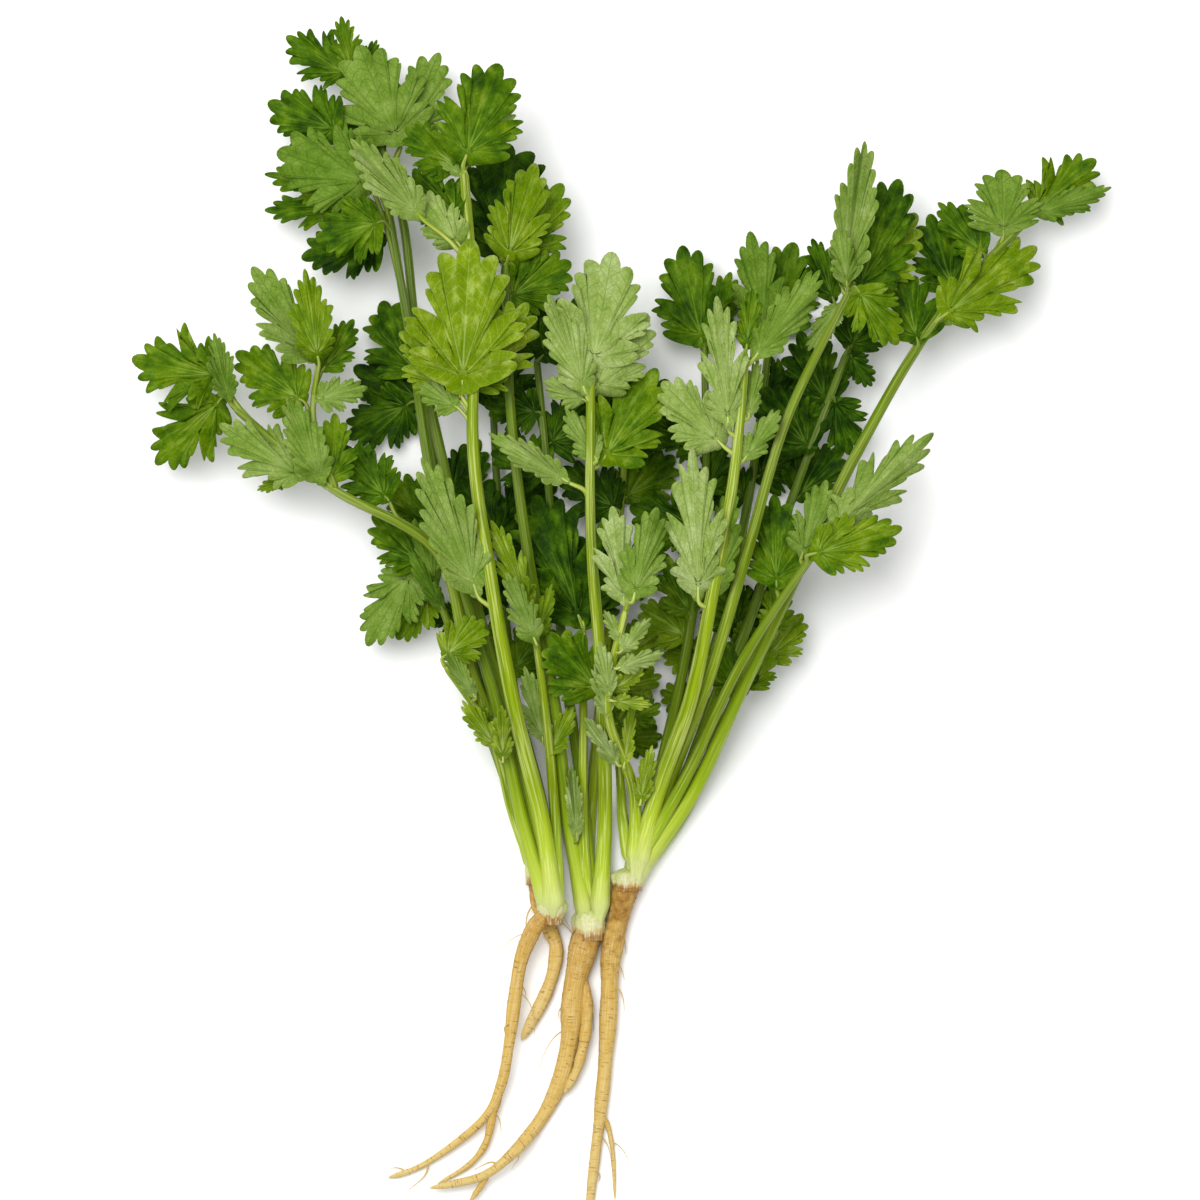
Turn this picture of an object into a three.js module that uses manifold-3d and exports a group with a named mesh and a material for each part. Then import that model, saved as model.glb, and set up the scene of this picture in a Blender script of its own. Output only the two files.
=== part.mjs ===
// A bunch of four coriander plants, pulled with their roots and laid on a table, roots towards -Y.
// Every plant is a tan taproot, a pale crown and the leafy stems that grow from that crown.
// Units are millimetres, +Z is up, and the origin is under the middle of the bunch, on the table.
import * as THREE from "three";
import { mergeVertices } from "three/addons/utils/BufferGeometryUtils.js";
import Module from "manifold-3d";

const wasm = await Module();
wasm.setup();
const { smoothstep, lerp, clamp, degToRad } = THREE.MathUtils;

// Driving sizes
const BUNCH_LENGTH = 315; // top leaf tip to the longest root tip
const DRAWING_LENGTH = 1212; // the same length on the layout drawing below
const MM = BUNCH_LENGTH / DRAWING_LENGTH; // one unit of the drawing
const MIDDLE = { x: 622, y: 620 }; // the drawing's point above the origin, y running down
const LAYER = 6.2; // height from one layer of leaves to the next
const LOWEST_STEM = 2.6; // height of the stems that lie on the table
const ON_TABLE = 0.6; // layers up to this one lie on the table
const CROWN_LINE = 895; // drawing height where the pile starts to rise, and its run
const RISE_RUN = 270;
const HEART = { x: 590, y: 440, near: 190, far: 520 }; // the pile thins from near to far
const THINNING = 0.4;
const BLADE = 0.8; // thickness of a leaf blade
const GAP = 0.4; // clearance between two separate pieces
const SOFTEN = 2; // height over which a leaf that reaches the table flattens out on it
const STALKLET = 1.2; // width of a leaflet's stalk
const BLADE_BASE = 0.02; // where along a leaflet its stalk ends
const FEET = [0, 1.5, -1.5, 3.2, -3.2, 6]; // places tried for its foot, along the stem
const FOOT_BACK = 2.2; // how far back along the stem the first one is, and more per distance
const FOOT_SLANT = 0.6;
const TURN_BACK = -0.2; // cosine of the sharpest turn between stalk and leaflet
const FOOT_RISE = 0.5; // the most that a foot is above or below its stem's middle
const NECK = 0.25; // part of a leaflet's length in which it rises from its stem to its own height
const DRAPE = 0.7; // how far a leaflet follows the slope of the pile under it
const SIBLING = 1; // height between neighbouring leaflets of one stem
const OWN_GAP = 0.12; // clearance between them
const CLIMB = 42; // length in which a stem rises from its crown to its layer
const SEAT_STEP = 0.75; // height between the seats of two layers in one crown
const MIDDLE_LAYER = 3.5;
const TAPER = 0.5; // a stem's radius at its end over that at its crown
const BRANCH = 0.6; // a branch's radius over its stem's
const STRETCH = 34; // length of one straight stretch of a stem, the shorter ones near the crown
const CROWDING = 1.2;
const STEM_SIDES = 5;
const ROOT_SIDES = 6;
const CHORDS = 60; // points along a finished stem where a leaflet's foot may be
const KNOB = 0.07; // how far a root's radius swells and shrinks, over its radius
const KNOBS = 31; // and how fast along the root
const ROOT_TAPER = 0.8;
const CROWN_SIDES = 10;
const CROWN_RINGS = 6;
const STEPS = 40; // points along a stem line while the stems settle
const STRIDE = 8; // more than the distance between two of those points
const ROUNDS = 60; // rounds of settling, with what two stems give way each time
const GIVE = 0.3;
const HOME_RIM = 0.6; // skin round its own crown in which a stem meets its neighbours
const SLEEVE = 0.7; // skin round a stem in which its own leaflets' stalks may meet
const WELD = 0.002; // points nearer than this are one point
const TOLERANCES = [0.1, 0.08, 0.06, 0.05, 0.04, 0.03, 0.02, 0.01]; // of the finished meshes
const MOST = 0.9; // part of a leaflet that has to stay when it is joined to its stem

// Half outlines of a leaflet, base at 0,0 and tip at 1,0: tips and notches in turn.
// heart is the point on the midrib that the blade's faces run to.
const SHAPES = {
  fan: {
    heart: 0.42,
    half: [[0.17, 0.42], [0.32, 0.33], [0.45, 0.5], [0.5, 0.2], [0.76, 0.34]],
  },
  deep: {
    heart: 0.38,
    half: [[0.2, 0.4], [0.34, 0.16], [0.52, 0.5], [0.48, 0.14], [0.78, 0.32]],
  },
  long: { heart: 0.42, half: [[0.22, 0.46], [0.4, 0.32], [0.58, 0.5], [0.66, 0.24]] },
  small: { heart: 0.4, half: [[0.3, 0.48], [0.45, 0.22], [0.74, 0.34]] },
};
// How a leaflet lies: fold is the angle in degrees by which each half rises from the midrib, arch
// the drop of its tip in leaflet lengths. Back and ridge show the underside.
const POSES = {
  open: { fold: 8, arch: 0.1 },
  back: { fold: -7, arch: 0.06 },
  trough: { fold: 38, arch: 0.06 },
  ridge: { fold: -36, arch: 0.04 },
};
const TILT = 7; // the most that a leaflet rolls to one side, in degrees
const TILT_STEP = 2.4; // turns that roll from one leaflet to the next
const JITTER = 0.022; // how far an outline point strays, in leaflet lengths

// The four plants: crown centre on the drawing, its half sizes and the roots, each a line with
// its radius at the top and at the tip.
const PLANTS = {
  left: {
    crown: { x: 534, y: 872, radius: 2.7, length: 4.2, height: 3.4 },
    roots: [{ line: [[535, 876], [538, 905], [549, 932], [556, 956], [546, 996], [521, 1044]],
      heights: [3.2, 2.8, 2.2, 2.1, 2, 1.9], radii: [2.3, 1.6] }],
  },
  middle_left: {
    crown: { x: 552, y: 908, radius: 4, length: 5, height: 9.4 },
    roots: [
      { line: [[550, 914], [534, 930], [520, 965], [513, 1010], [508, 1050], [500, 1090], [484, 1122],
        [450, 1152], [415, 1174], [386, 1184]],
      heights: [9.2, 9, 7.6, 6.6, 7.2, 5.6, 3.8, 2.4, 1.6, 1.1], radii: [2.5, 0.6] },
      { line: [[500, 1092], [492, 1118], [484, 1150], [466, 1172], [436, 1190]],
        heights: [5.4, 3.6, 2.4, 1.6, 1], radii: [1.5, 0.5] },
    ],
  },
  middle: {
    crown: { x: 589, y: 922, radius: 4.5, length: 5.6, height: 3.7 },
    roots: [
      { line: [[589, 930], [581, 960], [573, 1000], [570, 1040], [560, 1085], [540, 1125], [512, 1158],
        [480, 1182], [428, 1194]],
      heights: [3.7, 3.2, 2.8, 2.5, 2.2, 1.9, 6, 5, 3.4], radii: [4.1, 0.8] },
      { line: [[586, 985], [586, 1030], [578, 1070], [564, 1098]],
        heights: [4, 4.4, 3.9, 3.2], radii: [1.9, 1] },
      { line: [[490, 1176], [478, 1194], [466, 1212]], heights: [5.2, 3.6, 2], radii: [1.3, 0.5] },
    ],
  },
  right: {
    crown: { x: 628, y: 876, radius: 4.3, length: 4.6, height: 4.8 },
    roots: [
      { line: [[628, 882], [620, 915], [611, 960], [609, 1010], [605, 1070], [600, 1120], [594, 1170],
        [588, 1226]], heights: [4.7, 4.2, 3.6, 3.2, 2.7, 2.2, 1.7, 1.2], radii: [3.6, 1] },
      { line: [[601, 1118], [608, 1132], [613, 1160], [615, 1206]], heights: [2.2, 1.8, 1.3, 0.9],
        radii: [0.9, 0.4] },
    ],
  },
};

// The leafy stems, read off the layout drawing: plant, layer from the table up, radius at the
// crown, stem lines from the crown outwards, then the leaflets. A leaflet's row is base x and y,
// tip x and y, width over length as seen from above, shape, how it lies, and mm above the stem.
const STEMS = {
  great_leaf_stem: ["middle_left", 7, 2.3,
    [[[553, 903], [540, 815], [514, 705], [495, 600], [480, 500], [474, 440], [481, 385], [471, 270],
      [464, 168]]],
    [[463, 397, 470, 243, 0.8, "fan", "open", 5], [455, 396, 411, 320, 0.85, "fan", "open", 3],
      [470, 394, 530, 303, 0.72, "deep", "open", 3], [460, 410, 419, 386, 0.8, "small", "back", -1],
      [464, 168, 499, 65, 0.85, "fan", "open", 1], [462, 172, 404, 128, 0.8, "fan", "open", -1],
      [467, 168, 516, 98, 0.42, "long", "ridge", 3], [462, 220, 402, 178, 1, "small", "open", -3],
      [463, 178, 440, 164, 0.5, "small", "back", 1], [462, 250, 418, 194, 0.66, "fan", "back", 1],
      [426, 224, 352, 143, 0.42, "long", "trough", 2],
      [480, 598, 425, 460, 0.4, "long", "trough", 1]]],
  centre_stem: ["middle", 7, 2.1,
    [[[600, 908], [605, 805], [602, 700], [598, 600], [589, 515], [583, 470], [584, 430], [588, 395],
      [591, 374]]],
    [[591, 374, 613, 255, 0.84, "fan", "back", 1], [587, 398, 549, 296, 0.42, "long", "back", 3],
      [586, 402, 544, 382, 0.8, "small", "back", 0], [590, 396, 650, 316, 0.66, "fan", "back", 2],
      [570, 484, 489, 434, 0.32, "long", "trough", 0], [600, 466, 656, 372, 0.78, "fan", "open", -3],
      [597, 462, 566, 410, 0.6, "small", "back", -2]]],
  right_stem: ["right", 7, 2.3,
    [[[640, 862], [667, 780], [690, 700], [706, 620], [722, 540], [735, 460], [741, 400], [744, 352]]],
    [[698, 602, 692, 452, 0.46, "deep", "back", 4], [712, 600, 730, 488, 0.36, "long", "back", 2],
      [723, 448, 660, 382, 0.74, "fan", "back", 1], [728, 432, 716, 298, 0.4, "deep", "back", 2],
      [742, 462, 779, 410, 0.5, "small", "back", 0], [745, 352, 752, 290, 0.5, "small", "open", 0],
      [750, 364, 820, 272, 0.36, "long", "back", 2], [747, 420, 757, 360, 0.4, "small", "back", -1]]],
  upper_right_stem: ["right", 6, 2,
    [[[638, 864], [676, 765], [716, 655], [750, 540], [778, 445], [800, 382], [826, 322], [852, 286]]],
    [[842, 290, 866, 139, 0.3, "long", "trough", 1], [854, 300, 902, 178, 0.62, "fan", "open", -3],
      [852, 286, 918, 212, 0.85, "fan", "open", 2], [854, 288, 898, 346, 0.8, "fan", "open", 0],
      [846, 288, 838, 228, 0.55, "small", "back", 3], [840, 304, 807, 352, 0.45, "long", "back", 1],
      [834, 304, 812, 238, 0.6, "small", "open", -2]]],
  far_right_stem: ["right", 5, 2.1,
    [[[643, 866], [700, 765], [762, 650], [810, 545], [850, 465], [890, 395], [918, 348], [952, 298],
      [985, 255], [1012, 230], [1032, 214]]],
    [[938, 320, 1040, 243, 0.66, "deep", "open", 1], [936, 322, 984, 298, 0.48, "small", "back", 3],
      [918, 345, 902, 270, 0.9, "fan", "open", -2], [1004, 236, 1003, 168, 1.2, "fan", "back", 3],
      [1034, 212, 1098, 156, 0.85, "deep", "open", -1],
      [1034, 214, 1112, 187, 0.36, "long", "back", 1], [986, 256, 940, 200, 0.7, "small", "open", -2],
      [956, 294, 930, 212, 0.8, "fan", "open", -2]]],
  low_right_stem: ["right", 6, 1.8,
    [[[636, 868], [690, 775], [730, 690], [758, 625], [785, 572], [828, 532]]],
    [[828, 532, 930, 434, 0.42, "deep", "ridge", 3], [806, 556, 902, 528, 0.62, "fan", "open", 0],
      [800, 560, 826, 480, 0.55, "fan", "back", 2], [776, 590, 774, 494, 0.72, "fan", "open", -3]]],
  curly_right_stem: ["right", 3, 1.7,
    [[[644, 868], [697, 785], [725, 720], [760, 668], [778, 630]]],
    [[750, 690, 772, 646, 0.8, "fan", "open", 0], [765, 662, 804, 614, 0.85, "fan", "open", 1],
      [777, 634, 778, 578, 0.8, "small", "open", 0], [744, 698, 716, 640, 0.85, "fan", "open", -1],
      [762, 664, 738, 622, 0.8, "small", "open", -1]]],
  young_shoot: ["right", 8, 1.7,
    [[[634, 862], [641, 812], [622, 770], [608, 730], [609, 695], [621, 650], [626, 606]]],
    [[625, 606, 612, 508, 0.56, "deep", "back", 3], [632, 602, 656, 508, 0.5, "fan", "back", 1],
      [619, 766, 584, 716, 0.4, "small", "back", 1], [624, 768, 632, 704, 0.3, "small", "open", 0],
      [609, 716, 594, 664, 0.45, "small", "back", 1], [610, 696, 600, 640, 0.45, "small", "back", 2],
      [611, 690, 644, 668, 0.6, "small", "open", 0], [616, 668, 664, 652, 0.5, "small", "back", 1],
      [620, 652, 650, 618, 0.5, "small", "back", 1], [622, 642, 604, 610, 0.5, "small", "back", 2],
      [612, 700, 652, 704, 0.5, "small", "open", -1], [640, 806, 652, 746, 0.4, "small", "open", -1]]],
  thin_left_stem: ["middle_left", 6, 1.7,
    [[[556, 900], [551, 820], [548, 755], [545, 700], [537, 640], [532, 606]]],
    [[532, 610, 492, 520, 0.36, "deep", "open", 3], [537, 644, 507, 572, 0.42, "fan", "trough", 1],
      [544, 744, 525, 666, 0.36, "fan", "trough", 0], [537, 640, 552, 584, 0.4, "small", "open", -1],
      [548, 756, 574, 706, 0.55, "small", "open", -1]]],
  far_left_stem: ["left", 5, 1.9,
    [[[534, 868], [514, 775], [484, 690], [458, 610], [436, 545], [412, 508], [362, 495], [305, 480],
      [262, 465], [240, 446], [231, 405]],
     [[335, 488], [318, 440], [313, 405], [320, 364]]],
    [[222, 376, 132, 360, 1, "deep", "open", 1], [224, 396, 152, 464, 0.82, "deep", "open", -2],
      [230, 402, 214, 332, 0.4, "long", "trough", 3], [306, 404, 236, 350, 0.8, "fan", "open", 1],
      [306, 479, 219, 424, 0.62, "deep", "back", 2], [324, 486, 289, 398, 0.48, "long", "back", 5],
      [332, 486, 336, 414, 0.7, "fan", "open", 2], [318, 362, 252, 268, 0.56, "fan", "trough", 1],
      [320, 366, 306, 272, 0.48, "long", "open", 4], [322, 372, 354, 320, 0.7, "fan", "open", -2],
      [316, 400, 367, 388, 0.72, "fan", "back", 1], [290, 478, 256, 490, 0.5, "small", "open", -3],
      [390, 502, 342, 444, 0.85, "fan", "open", -3]]],
  top_left_stem: ["middle_left", 4, 1.9,
    [[[548, 898], [522, 785], [494, 680], [470, 580], [447, 480], [427, 400], [414, 320], [406, 250],
      [396, 190], [372, 112], [350, 70]]],
    [[349, 74, 284, 34, 0.8, "deep", "open", -1], [350, 70, 340, 14, 0.62, "deep", "open", 1],
      [354, 80, 376, 36, 0.5, "small", "open", -2], [400, 146, 356, 44, 0.92, "fan", "back", 5],
      [400, 144, 438, 50, 0.68, "fan", "back", 2], [386, 156, 320, 118, 0.7, "fan", "open", 1]]],
  second_top_left_stem: ["middle_left", 5, 1.9,
    [[[544, 900], [515, 792], [486, 690], [460, 590], [437, 500], [420, 420], [410, 330], [402, 250],
      [388, 206]]],
    [[342, 132, 268, 102, 0.95, "fan", "open", -3], [376, 186, 276, 150, 0.92, "fan", "back", 2],
      [356, 192, 264, 172, 0.5, "deep", "open", -1], [352, 206, 262, 208, 0.5, "deep", "open", 1],
      [384, 222, 316, 240, 1, "fan", "open", 2], [387, 238, 300, 256, 0.78, "fan", "open", -2]]],
  top_centre_stem: ["middle", 5, 2,
    [[[584, 910], [572, 795], [550, 680], [532, 580], [518, 480], [508, 380], [503, 300], [506, 264]]],
    [[506, 266, 536, 163, 0.62, "fan", "open", 3], [508, 264, 562, 184, 0.8, "fan", "open", -1],
      [502, 264, 504, 138, 0.95, "fan", "open", -3], [505, 300, 572, 262, 0.9, "fan", "open", -2],
      [577, 842, 571, 764, 0.24, "long", "trough", 2]]],
  heart_stem: ["middle", 3, 1.7,
    [[[592, 910], [582, 795], [566, 680], [556, 580], [548, 480], [540, 400], [536, 352]]],
    [[536, 356, 516, 272, 0.95, "fan", "open", 0], [538, 360, 590, 300, 0.9, "small", "open", -1],
      [541, 412, 484, 402, 0.95, "fan", "open", 0], [545, 446, 606, 402, 0.9, "fan", "open", -1],
      [548, 478, 492, 438, 0.95, "fan", "open", -1], [556, 566, 504, 540, 0.9, "small", "open", 0]]],
  left_back_stem: ["left", 1, 1.7,
    [[[532, 868], [507, 762], [472, 660], [448, 560], [436, 480], [424, 400]]],
    [[424, 400, 352, 366, 1.05, "fan", "open", -3], [412, 400, 344, 436, 0.9, "fan", "open", -5],
      [416, 376, 378, 298, 0.95, "fan", "open", 2], [442, 532, 388, 478, 0.95, "fan", "open", -3],
      [443, 520, 478, 438, 0.75, "fan", "open", -2]]],
  low_left_stem: ["left", 3, 1.7,
    [[[532, 869], [511, 785], [476, 700], [454, 640], [434, 592], [424, 560]]],
    [[424, 566, 372, 516, 0.85, "fan", "open", -1], [414, 568, 364, 646, 0.68, "fan", "back", 3],
      [430, 590, 394, 640, 0.85, "fan", "open", 0], [436, 588, 414, 518, 0.36, "small", "back", 4],
      [444, 612, 408, 552, 0.3, "small", "back", 3]]],
  side_fan_stem: ["left", 6, 1.6,
    [[[533, 866], [512, 795], [490, 728], [464, 692], [443, 662]]],
    [[443, 658, 486, 620, 0.9, "fan", "open", 1], [476, 698, 446, 650, 0.36, "long", "back", 3],
      [498, 748, 462, 700, 0.5, "small", "open", 2], [489, 728, 470, 690, 0.5, "small", "open", 4],
      [503, 762, 502, 704, 0.42, "small", "open", 2]]],
  inner_fan_stem: ["right", 5, 1.5,
    [[[630, 864], [622, 812], [619, 765], [611, 722], [602, 694]]],
    [[602, 694, 548, 634, 1, "fan", "open", 3], [612, 726, 662, 704, 0.85, "small", "open", -3]]],
  dark_centre_stem: ["middle", 4, 1.6,
    [[[588, 908], [582, 800], [584, 700], [583, 622]]],
    [[583, 628, 534, 494, 0.8, "deep", "open", 1], [584, 630, 606, 516, 0.62, "fan", "open", -1]]],
  under_centre_stem: ["middle", 1, 1.6,
    [[[586, 912], [590, 795], [602, 685], [614, 585], [622, 500], [626, 442]]],
    [[626, 446, 598, 376, 0.95, "fan", "open", 0], [626, 448, 668, 378, 0.9, "fan", "open", -1],
      [622, 500, 676, 454, 0.95, "fan", "open", 0], [620, 511, 562, 466, 0.9, "fan", "open", 0],
      [614, 588, 666, 540, 0.9, "fan", "open", -3], [600, 738, 664, 738, 1, "small", "open", -1],
      [606, 664, 662, 630, 1, "small", "open", -1], [605, 692, 662, 676, 1, "small", "open", -1]]],
  right_back_stem: ["right", 1, 1.8,
    [[[637, 870], [680, 768], [714, 655], [737, 560], [753, 480], [765, 400], [772, 330]]],
    [[772, 334, 796, 238, 0.85, "fan", "open", -2], [768, 340, 752, 230, 0.55, "fan", "back", 6],
      [765, 408, 830, 358, 0.9, "fan", "open", -3], [755, 478, 818, 440, 0.9, "fan", "open", -1],
      [752, 496, 694, 470, 0.95, "fan", "open", 0], [712, 660, 662, 656, 1, "small", "open", 0]]],
  dark_right_stem: ["right", 2, 1.7,
    [[[632, 872], [662, 768], [688, 645], [702, 540], [708, 450], [707, 370], [705, 342]]],
    [[704, 346, 681, 243, 0.8, "fan", "open", 2], [706, 352, 732, 268, 0.6, "small", "open", 0],
      [708, 446, 650, 424, 0.9, "small", "open", 0], [703, 530, 630, 506, 0.9, "fan", "open", 1],
      [690, 640, 640, 604, 1, "small", "open", 0], [692, 618, 668, 556, 0.9, "small", "open", 0],
      [706, 496, 724, 440, 0.8, "small", "open", 0]]],
  shaded_right_stem: ["right", 3, 1.8,
    [[[646, 864], [704, 738], [752, 615], [792, 500], [820, 430], [842, 378], [850, 346]]],
    [[850, 352, 874, 386, 0.8, "small", "open", -2], [834, 396, 852, 454, 0.95, "fan", "open", -2],
      [850, 350, 882, 286, 0.9, "fan", "open", -1], [830, 408, 800, 330, 0.95, "small", "open", -3],
      [814, 452, 762, 386, 0.85, "fan", "open", -2], [796, 500, 844, 446, 0.95, "fan", "open", -3]]],
  left_under_stem: ["middle_left", 1, 1.7,
    [[[549, 904], [530, 795], [512, 685], [502, 580], [496, 480], [492, 405]]],
    [[492, 410, 512, 326, 0.9, "fan", "open", 0], [497, 524, 557, 484, 0.85, "fan", "open", 0],
      [499, 548, 456, 476, 1, "small", "open", 0], [504, 608, 456, 558, 0.95, "fan", "open", -1],
      [509, 676, 550, 620, 0.95, "small", "open", 0]]],
  low_under_stem: ["right", 2, 1.6,
    [[[641, 871], [687, 768], [720, 684], [742, 622]]],
    [[742, 628, 708, 574, 0.95, "fan", "open", 1], [736, 646, 776, 584, 0.9, "fan", "open", -1],
      [710, 708, 660, 692, 1, "small", "open", -2]]],
  left_low_stem: ["left", 0, 1.5,
    [[[535, 871], [518, 785], [498, 712], [474, 645], [458, 592]]],
    [[464, 620, 424, 616, 0.85, "fan", "open", -3], [474, 652, 506, 622, 0.8, "small", "open", -1]]],
};

// A point of the drawing in millimetres.
function onTable([x, y]) {
  return [(x - MIDDLE.x) * MM, (MIDDLE.y - y) * MM];
}

// The height of a layer over a point given in millimetres: nil at the crowns, full in the leaves,
// and lower again towards the outside, so the order of the layers is the same everywhere.
function pileHeight(x, y, layer) {
  const px = x / MM + MIDDLE.x;
  const py = MIDDLE.y - y / MM;
  const up = smoothstep(CROWN_LINE - py, 0, RISE_RUN);
  const out = smoothstep(Math.hypot(px - HEART.x, py - HEART.y), HEART.near, HEART.far);
  return LOWEST_STEM + Math.max(0, layer - ON_TABLE) * LAYER * up * (1 - THINNING * out);
}

// Keeps a height off the table without a kink.
function aboveTable(z) {
  const over = z - BLADE / 2;
  return BLADE / 2 + (over > SOFTEN ? over : SOFTEN * Math.exp((over - SOFTEN) / SOFTEN));
}

function toSolid(geometry) {
  const merged = mergeVertices(geometry, 1e-4);
  return new wasm.Manifold(new wasm.Mesh({
    numProp: 3,
    vertProperties: merged.attributes.position.array,
    triVerts: new Uint32Array(merged.index.array),
  }));
}

// A solid from its points and faces, whichever way round the faces were listed.
function facetedSolid(positions, index) {
  const geometry = new THREE.BufferGeometry();
  geometry.setAttribute("position", new THREE.Float32BufferAttribute(positions.flat(), 3));
  geometry.setIndex(index);
  const made = toSolid(geometry);
  if (made.volume() > 0) return made;
  geometry.setIndex(index.reverse());
  return toSolid(geometry);
}

// A closed tube along points, its section a polygon that stands across the line.
function tube(points, radiusAt, sides) {
  const curve = new THREE.CatmullRomCurve3(points, false, "centripetal");
  const steps = Math.max(2, points.length - 1);
  const positions = [];
  const index = [];
  for (let i = 0; i <= steps; i++) {
    const t = i / steps;
    const centre = curve.getPoint(t);
    const along = curve.getTangent(t);
    const side = new THREE.Vector3(0, 0, 1).cross(along).normalize();
    const top = along.clone().cross(side);
    for (let k = 0; k < sides; k++) {
      const a = ((k + 0.5) / sides) * 2 * Math.PI;
      const r = radiusAt(t);
      positions.push(centre.clone().addScaledVector(side, r * Math.cos(a))
        .addScaledVector(top, r * Math.sin(a)).toArray());
      if (i < steps) {
        const [p, q] = [i * sides + k, i * sides + ((k + 1) % sides)];
        index.push(p, q, q + sides, p, q + sides, p + sides);
      }
    }
  }
  const last = steps * sides;
  for (let k = 1; k < sides - 1; k++) index.push(0, k + 1, k, last, last + k, last + k + 1);
  return facetedSolid(positions, index);
}

// The outline of a leaflet, counter-clockwise from the right of its base to the left of it.
function outline(shape, seed) {
  const right = shape.half.map(([x, y]) => [x, -y]);
  const ring = [...right, [1, 0], ...shape.half.toReversed()];
  return ring.map(([x, y], i) => [
    x + JITTER * Math.sin(12.9 * i + 7.3 * seed),
    y + JITTER * Math.sin(4.7 * i + 3.1 * seed),
  ]);
}

// A leaflet: where a point of its flat outline comes to lie over the table.
function leafletMap(row, layer, seed, lift, bend) {
  const [bx, by, tx, ty, width, shapeName, poseName, up] = row;
  const base = onTable([bx, by]);
  const tip = onTable([tx, ty]);
  const length = Math.hypot(tip[0] - base[0], tip[1] - base[1]);
  const [ux, uy] = [(tip[0] - base[0]) / length, (tip[1] - base[1]) / length];
  const { fold, arch } = POSES[poseName];
  const roll = TILT * Math.sin(TILT_STEP * seed);
  const start = pileHeight(...base, layer);
  const level = ((seed % 3) - 1) * SIBLING + lift;
  return {
    level,
    shape: SHAPES[shapeName],
    base,
    ahead: [ux, uy],
    alongFrom(foot) {
      const [fx, fy] = [base[0] - foot.x, base[1] - foot.y];
      return (fx * ux + fy * uy) / Math.hypot(fx, fy);
    },
    at(u, v) {
      const y = v * width * length;
      const px = base[0] + ux * u * length - uy * y;
      const py = base[1] + uy * u * length + ux * y;
      const relief = Math.abs(y) * Math.tan(degToRad(fold)) + y * Math.tan(degToRad(roll))
        - arch * length * u * u + bend * u;
      const pile = lerp(start, pileHeight(px, py, layer), DRAPE);
      return [px, py, aboveTable(pile + Math.min(1, u / NECK) * up + level + relief)];
    },
  };
}

// Where a leaflet's stalk may leave its stem: first a little before the leaflet, then further off
// to either side. What would double back over the blade is left out.
function feetOf(leaf, lines) {
  const near = lines.map((points) => {
    const gaps = points.map((p) => Math.hypot(p.x - leaf.base[0], p.y - leaf.base[1]));
    const best = gaps.indexOf(Math.min(...gaps));
    return { points, best, gap: gaps[best] };
  }).sort((a, b) => a.gap - b.gap)[0];
  const spacing = near.points[0].distanceTo(near.points[1]);
  const first = FOOT_BACK + near.gap * FOOT_SLANT;
  const rise = clamp(leaf.level * GAP, -FOOT_RISE, FOOT_RISE);
  return FEET.map((extra) => {
    const at = clamp(near.best - (first + extra) / spacing, 1, near.points.length - 1.5);
    const from = near.points[Math.floor(at)];
    const foot = from.clone().lerp(near.points[Math.ceil(at)], at - Math.floor(at));
    return foot.setZ(foot.z + rise);
  }).filter((foot) => leaf.alongFrom(foot) > TURN_BACK);
}

// A thin plate: the middle points raised and lowered by half the blade, the given faces on both
// sides, and a wall along the ring, which names the edge points in turn.
function plate(middle, faces, ring) {
  const positions = [1, -1].flatMap((up) => middle.map(([x, y, z]) => [x, y, z + (up * BLADE) / 2]));
  const under = middle.length;
  const index = faces.flatMap(([i, j, k]) => [i, j, k, under + k, under + j, under + i]);
  ring.forEach((i, at) => {
    const j = ring[(at + 1) % ring.length];
    index.push(i, under + i, under + j, i, under + j, j);
  });
  return facetedSolid(positions, index);
}

// The blade of a leaflet: faces round the heart, the same above and below. With a foot it has its
// stalk too, in the same plate.
function blade(leaf, seed, foot) {
  const base = new THREE.Vector3(...leaf.at(BLADE_BASE, 0));
  const ahead = new THREE.Vector3(...leaf.ahead, 0);
  const along = foot ? base.clone().sub(foot).setZ(0).normalize() : ahead;
  const mitre = along.clone().add(ahead).normalize();
  const half = STALKLET * (0.5 + 0.04 * Math.sin(3.7 * seed));
  const beside = (p, way, by) => [p.x - way.y * by, p.y + way.x * by, p.z];
  const edge = outline(leaf.shape, seed).map(([u, v]) => leaf.at(u, v));
  const middle = [leaf.at(leaf.shape.heart, 0), beside(base, mitre, -half), ...edge,
    beside(base, mitre, half)];
  const n = middle.length - 1;
  const faces = Array.from({ length: n }, (_, i) => [0, i + 1, ((i + 1) % n) + 1]);
  if (foot) {
    middle.push(beside(foot, along, half), beside(foot, along, -half));
    faces.push([1, n, n + 1], [1, n + 1, n + 2]);
  }
  return plate(middle, faces, Array.from({ length: middle.length - 1 }, (_, i) => i + 1));
}

// A stem line in space, from its seat in the crown up to its layer, in even steps.
function stemLine(line, layer, crown) {
  const flat = new THREE.SplineCurve(line.map((p) => new THREE.Vector2(...onTable(p))));
  const seat = crown ? crown.height + (layer - MIDDLE_LAYER) * SEAT_STEP : 0;
  return flat.getSpacedPoints(STEPS).map((p, i) => {
    const along = crown ? smoothstep((i / STEPS) * flat.getLength(), 0, CLIMB) : 1;
    return new THREE.Vector3(p.x, p.y, lerp(seat, pileHeight(p.x, p.y, layer), along));
  });
}

// The point of a stretch of stem nearest to p.
function nearest(p, a, b) {
  const along = b.clone().sub(a);
  const t = clamp(p.clone().sub(a).dot(along) / along.lengthSq(), 0, 1);
  return { point: a.clone().addScaledVector(along, t), t };
}

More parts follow.
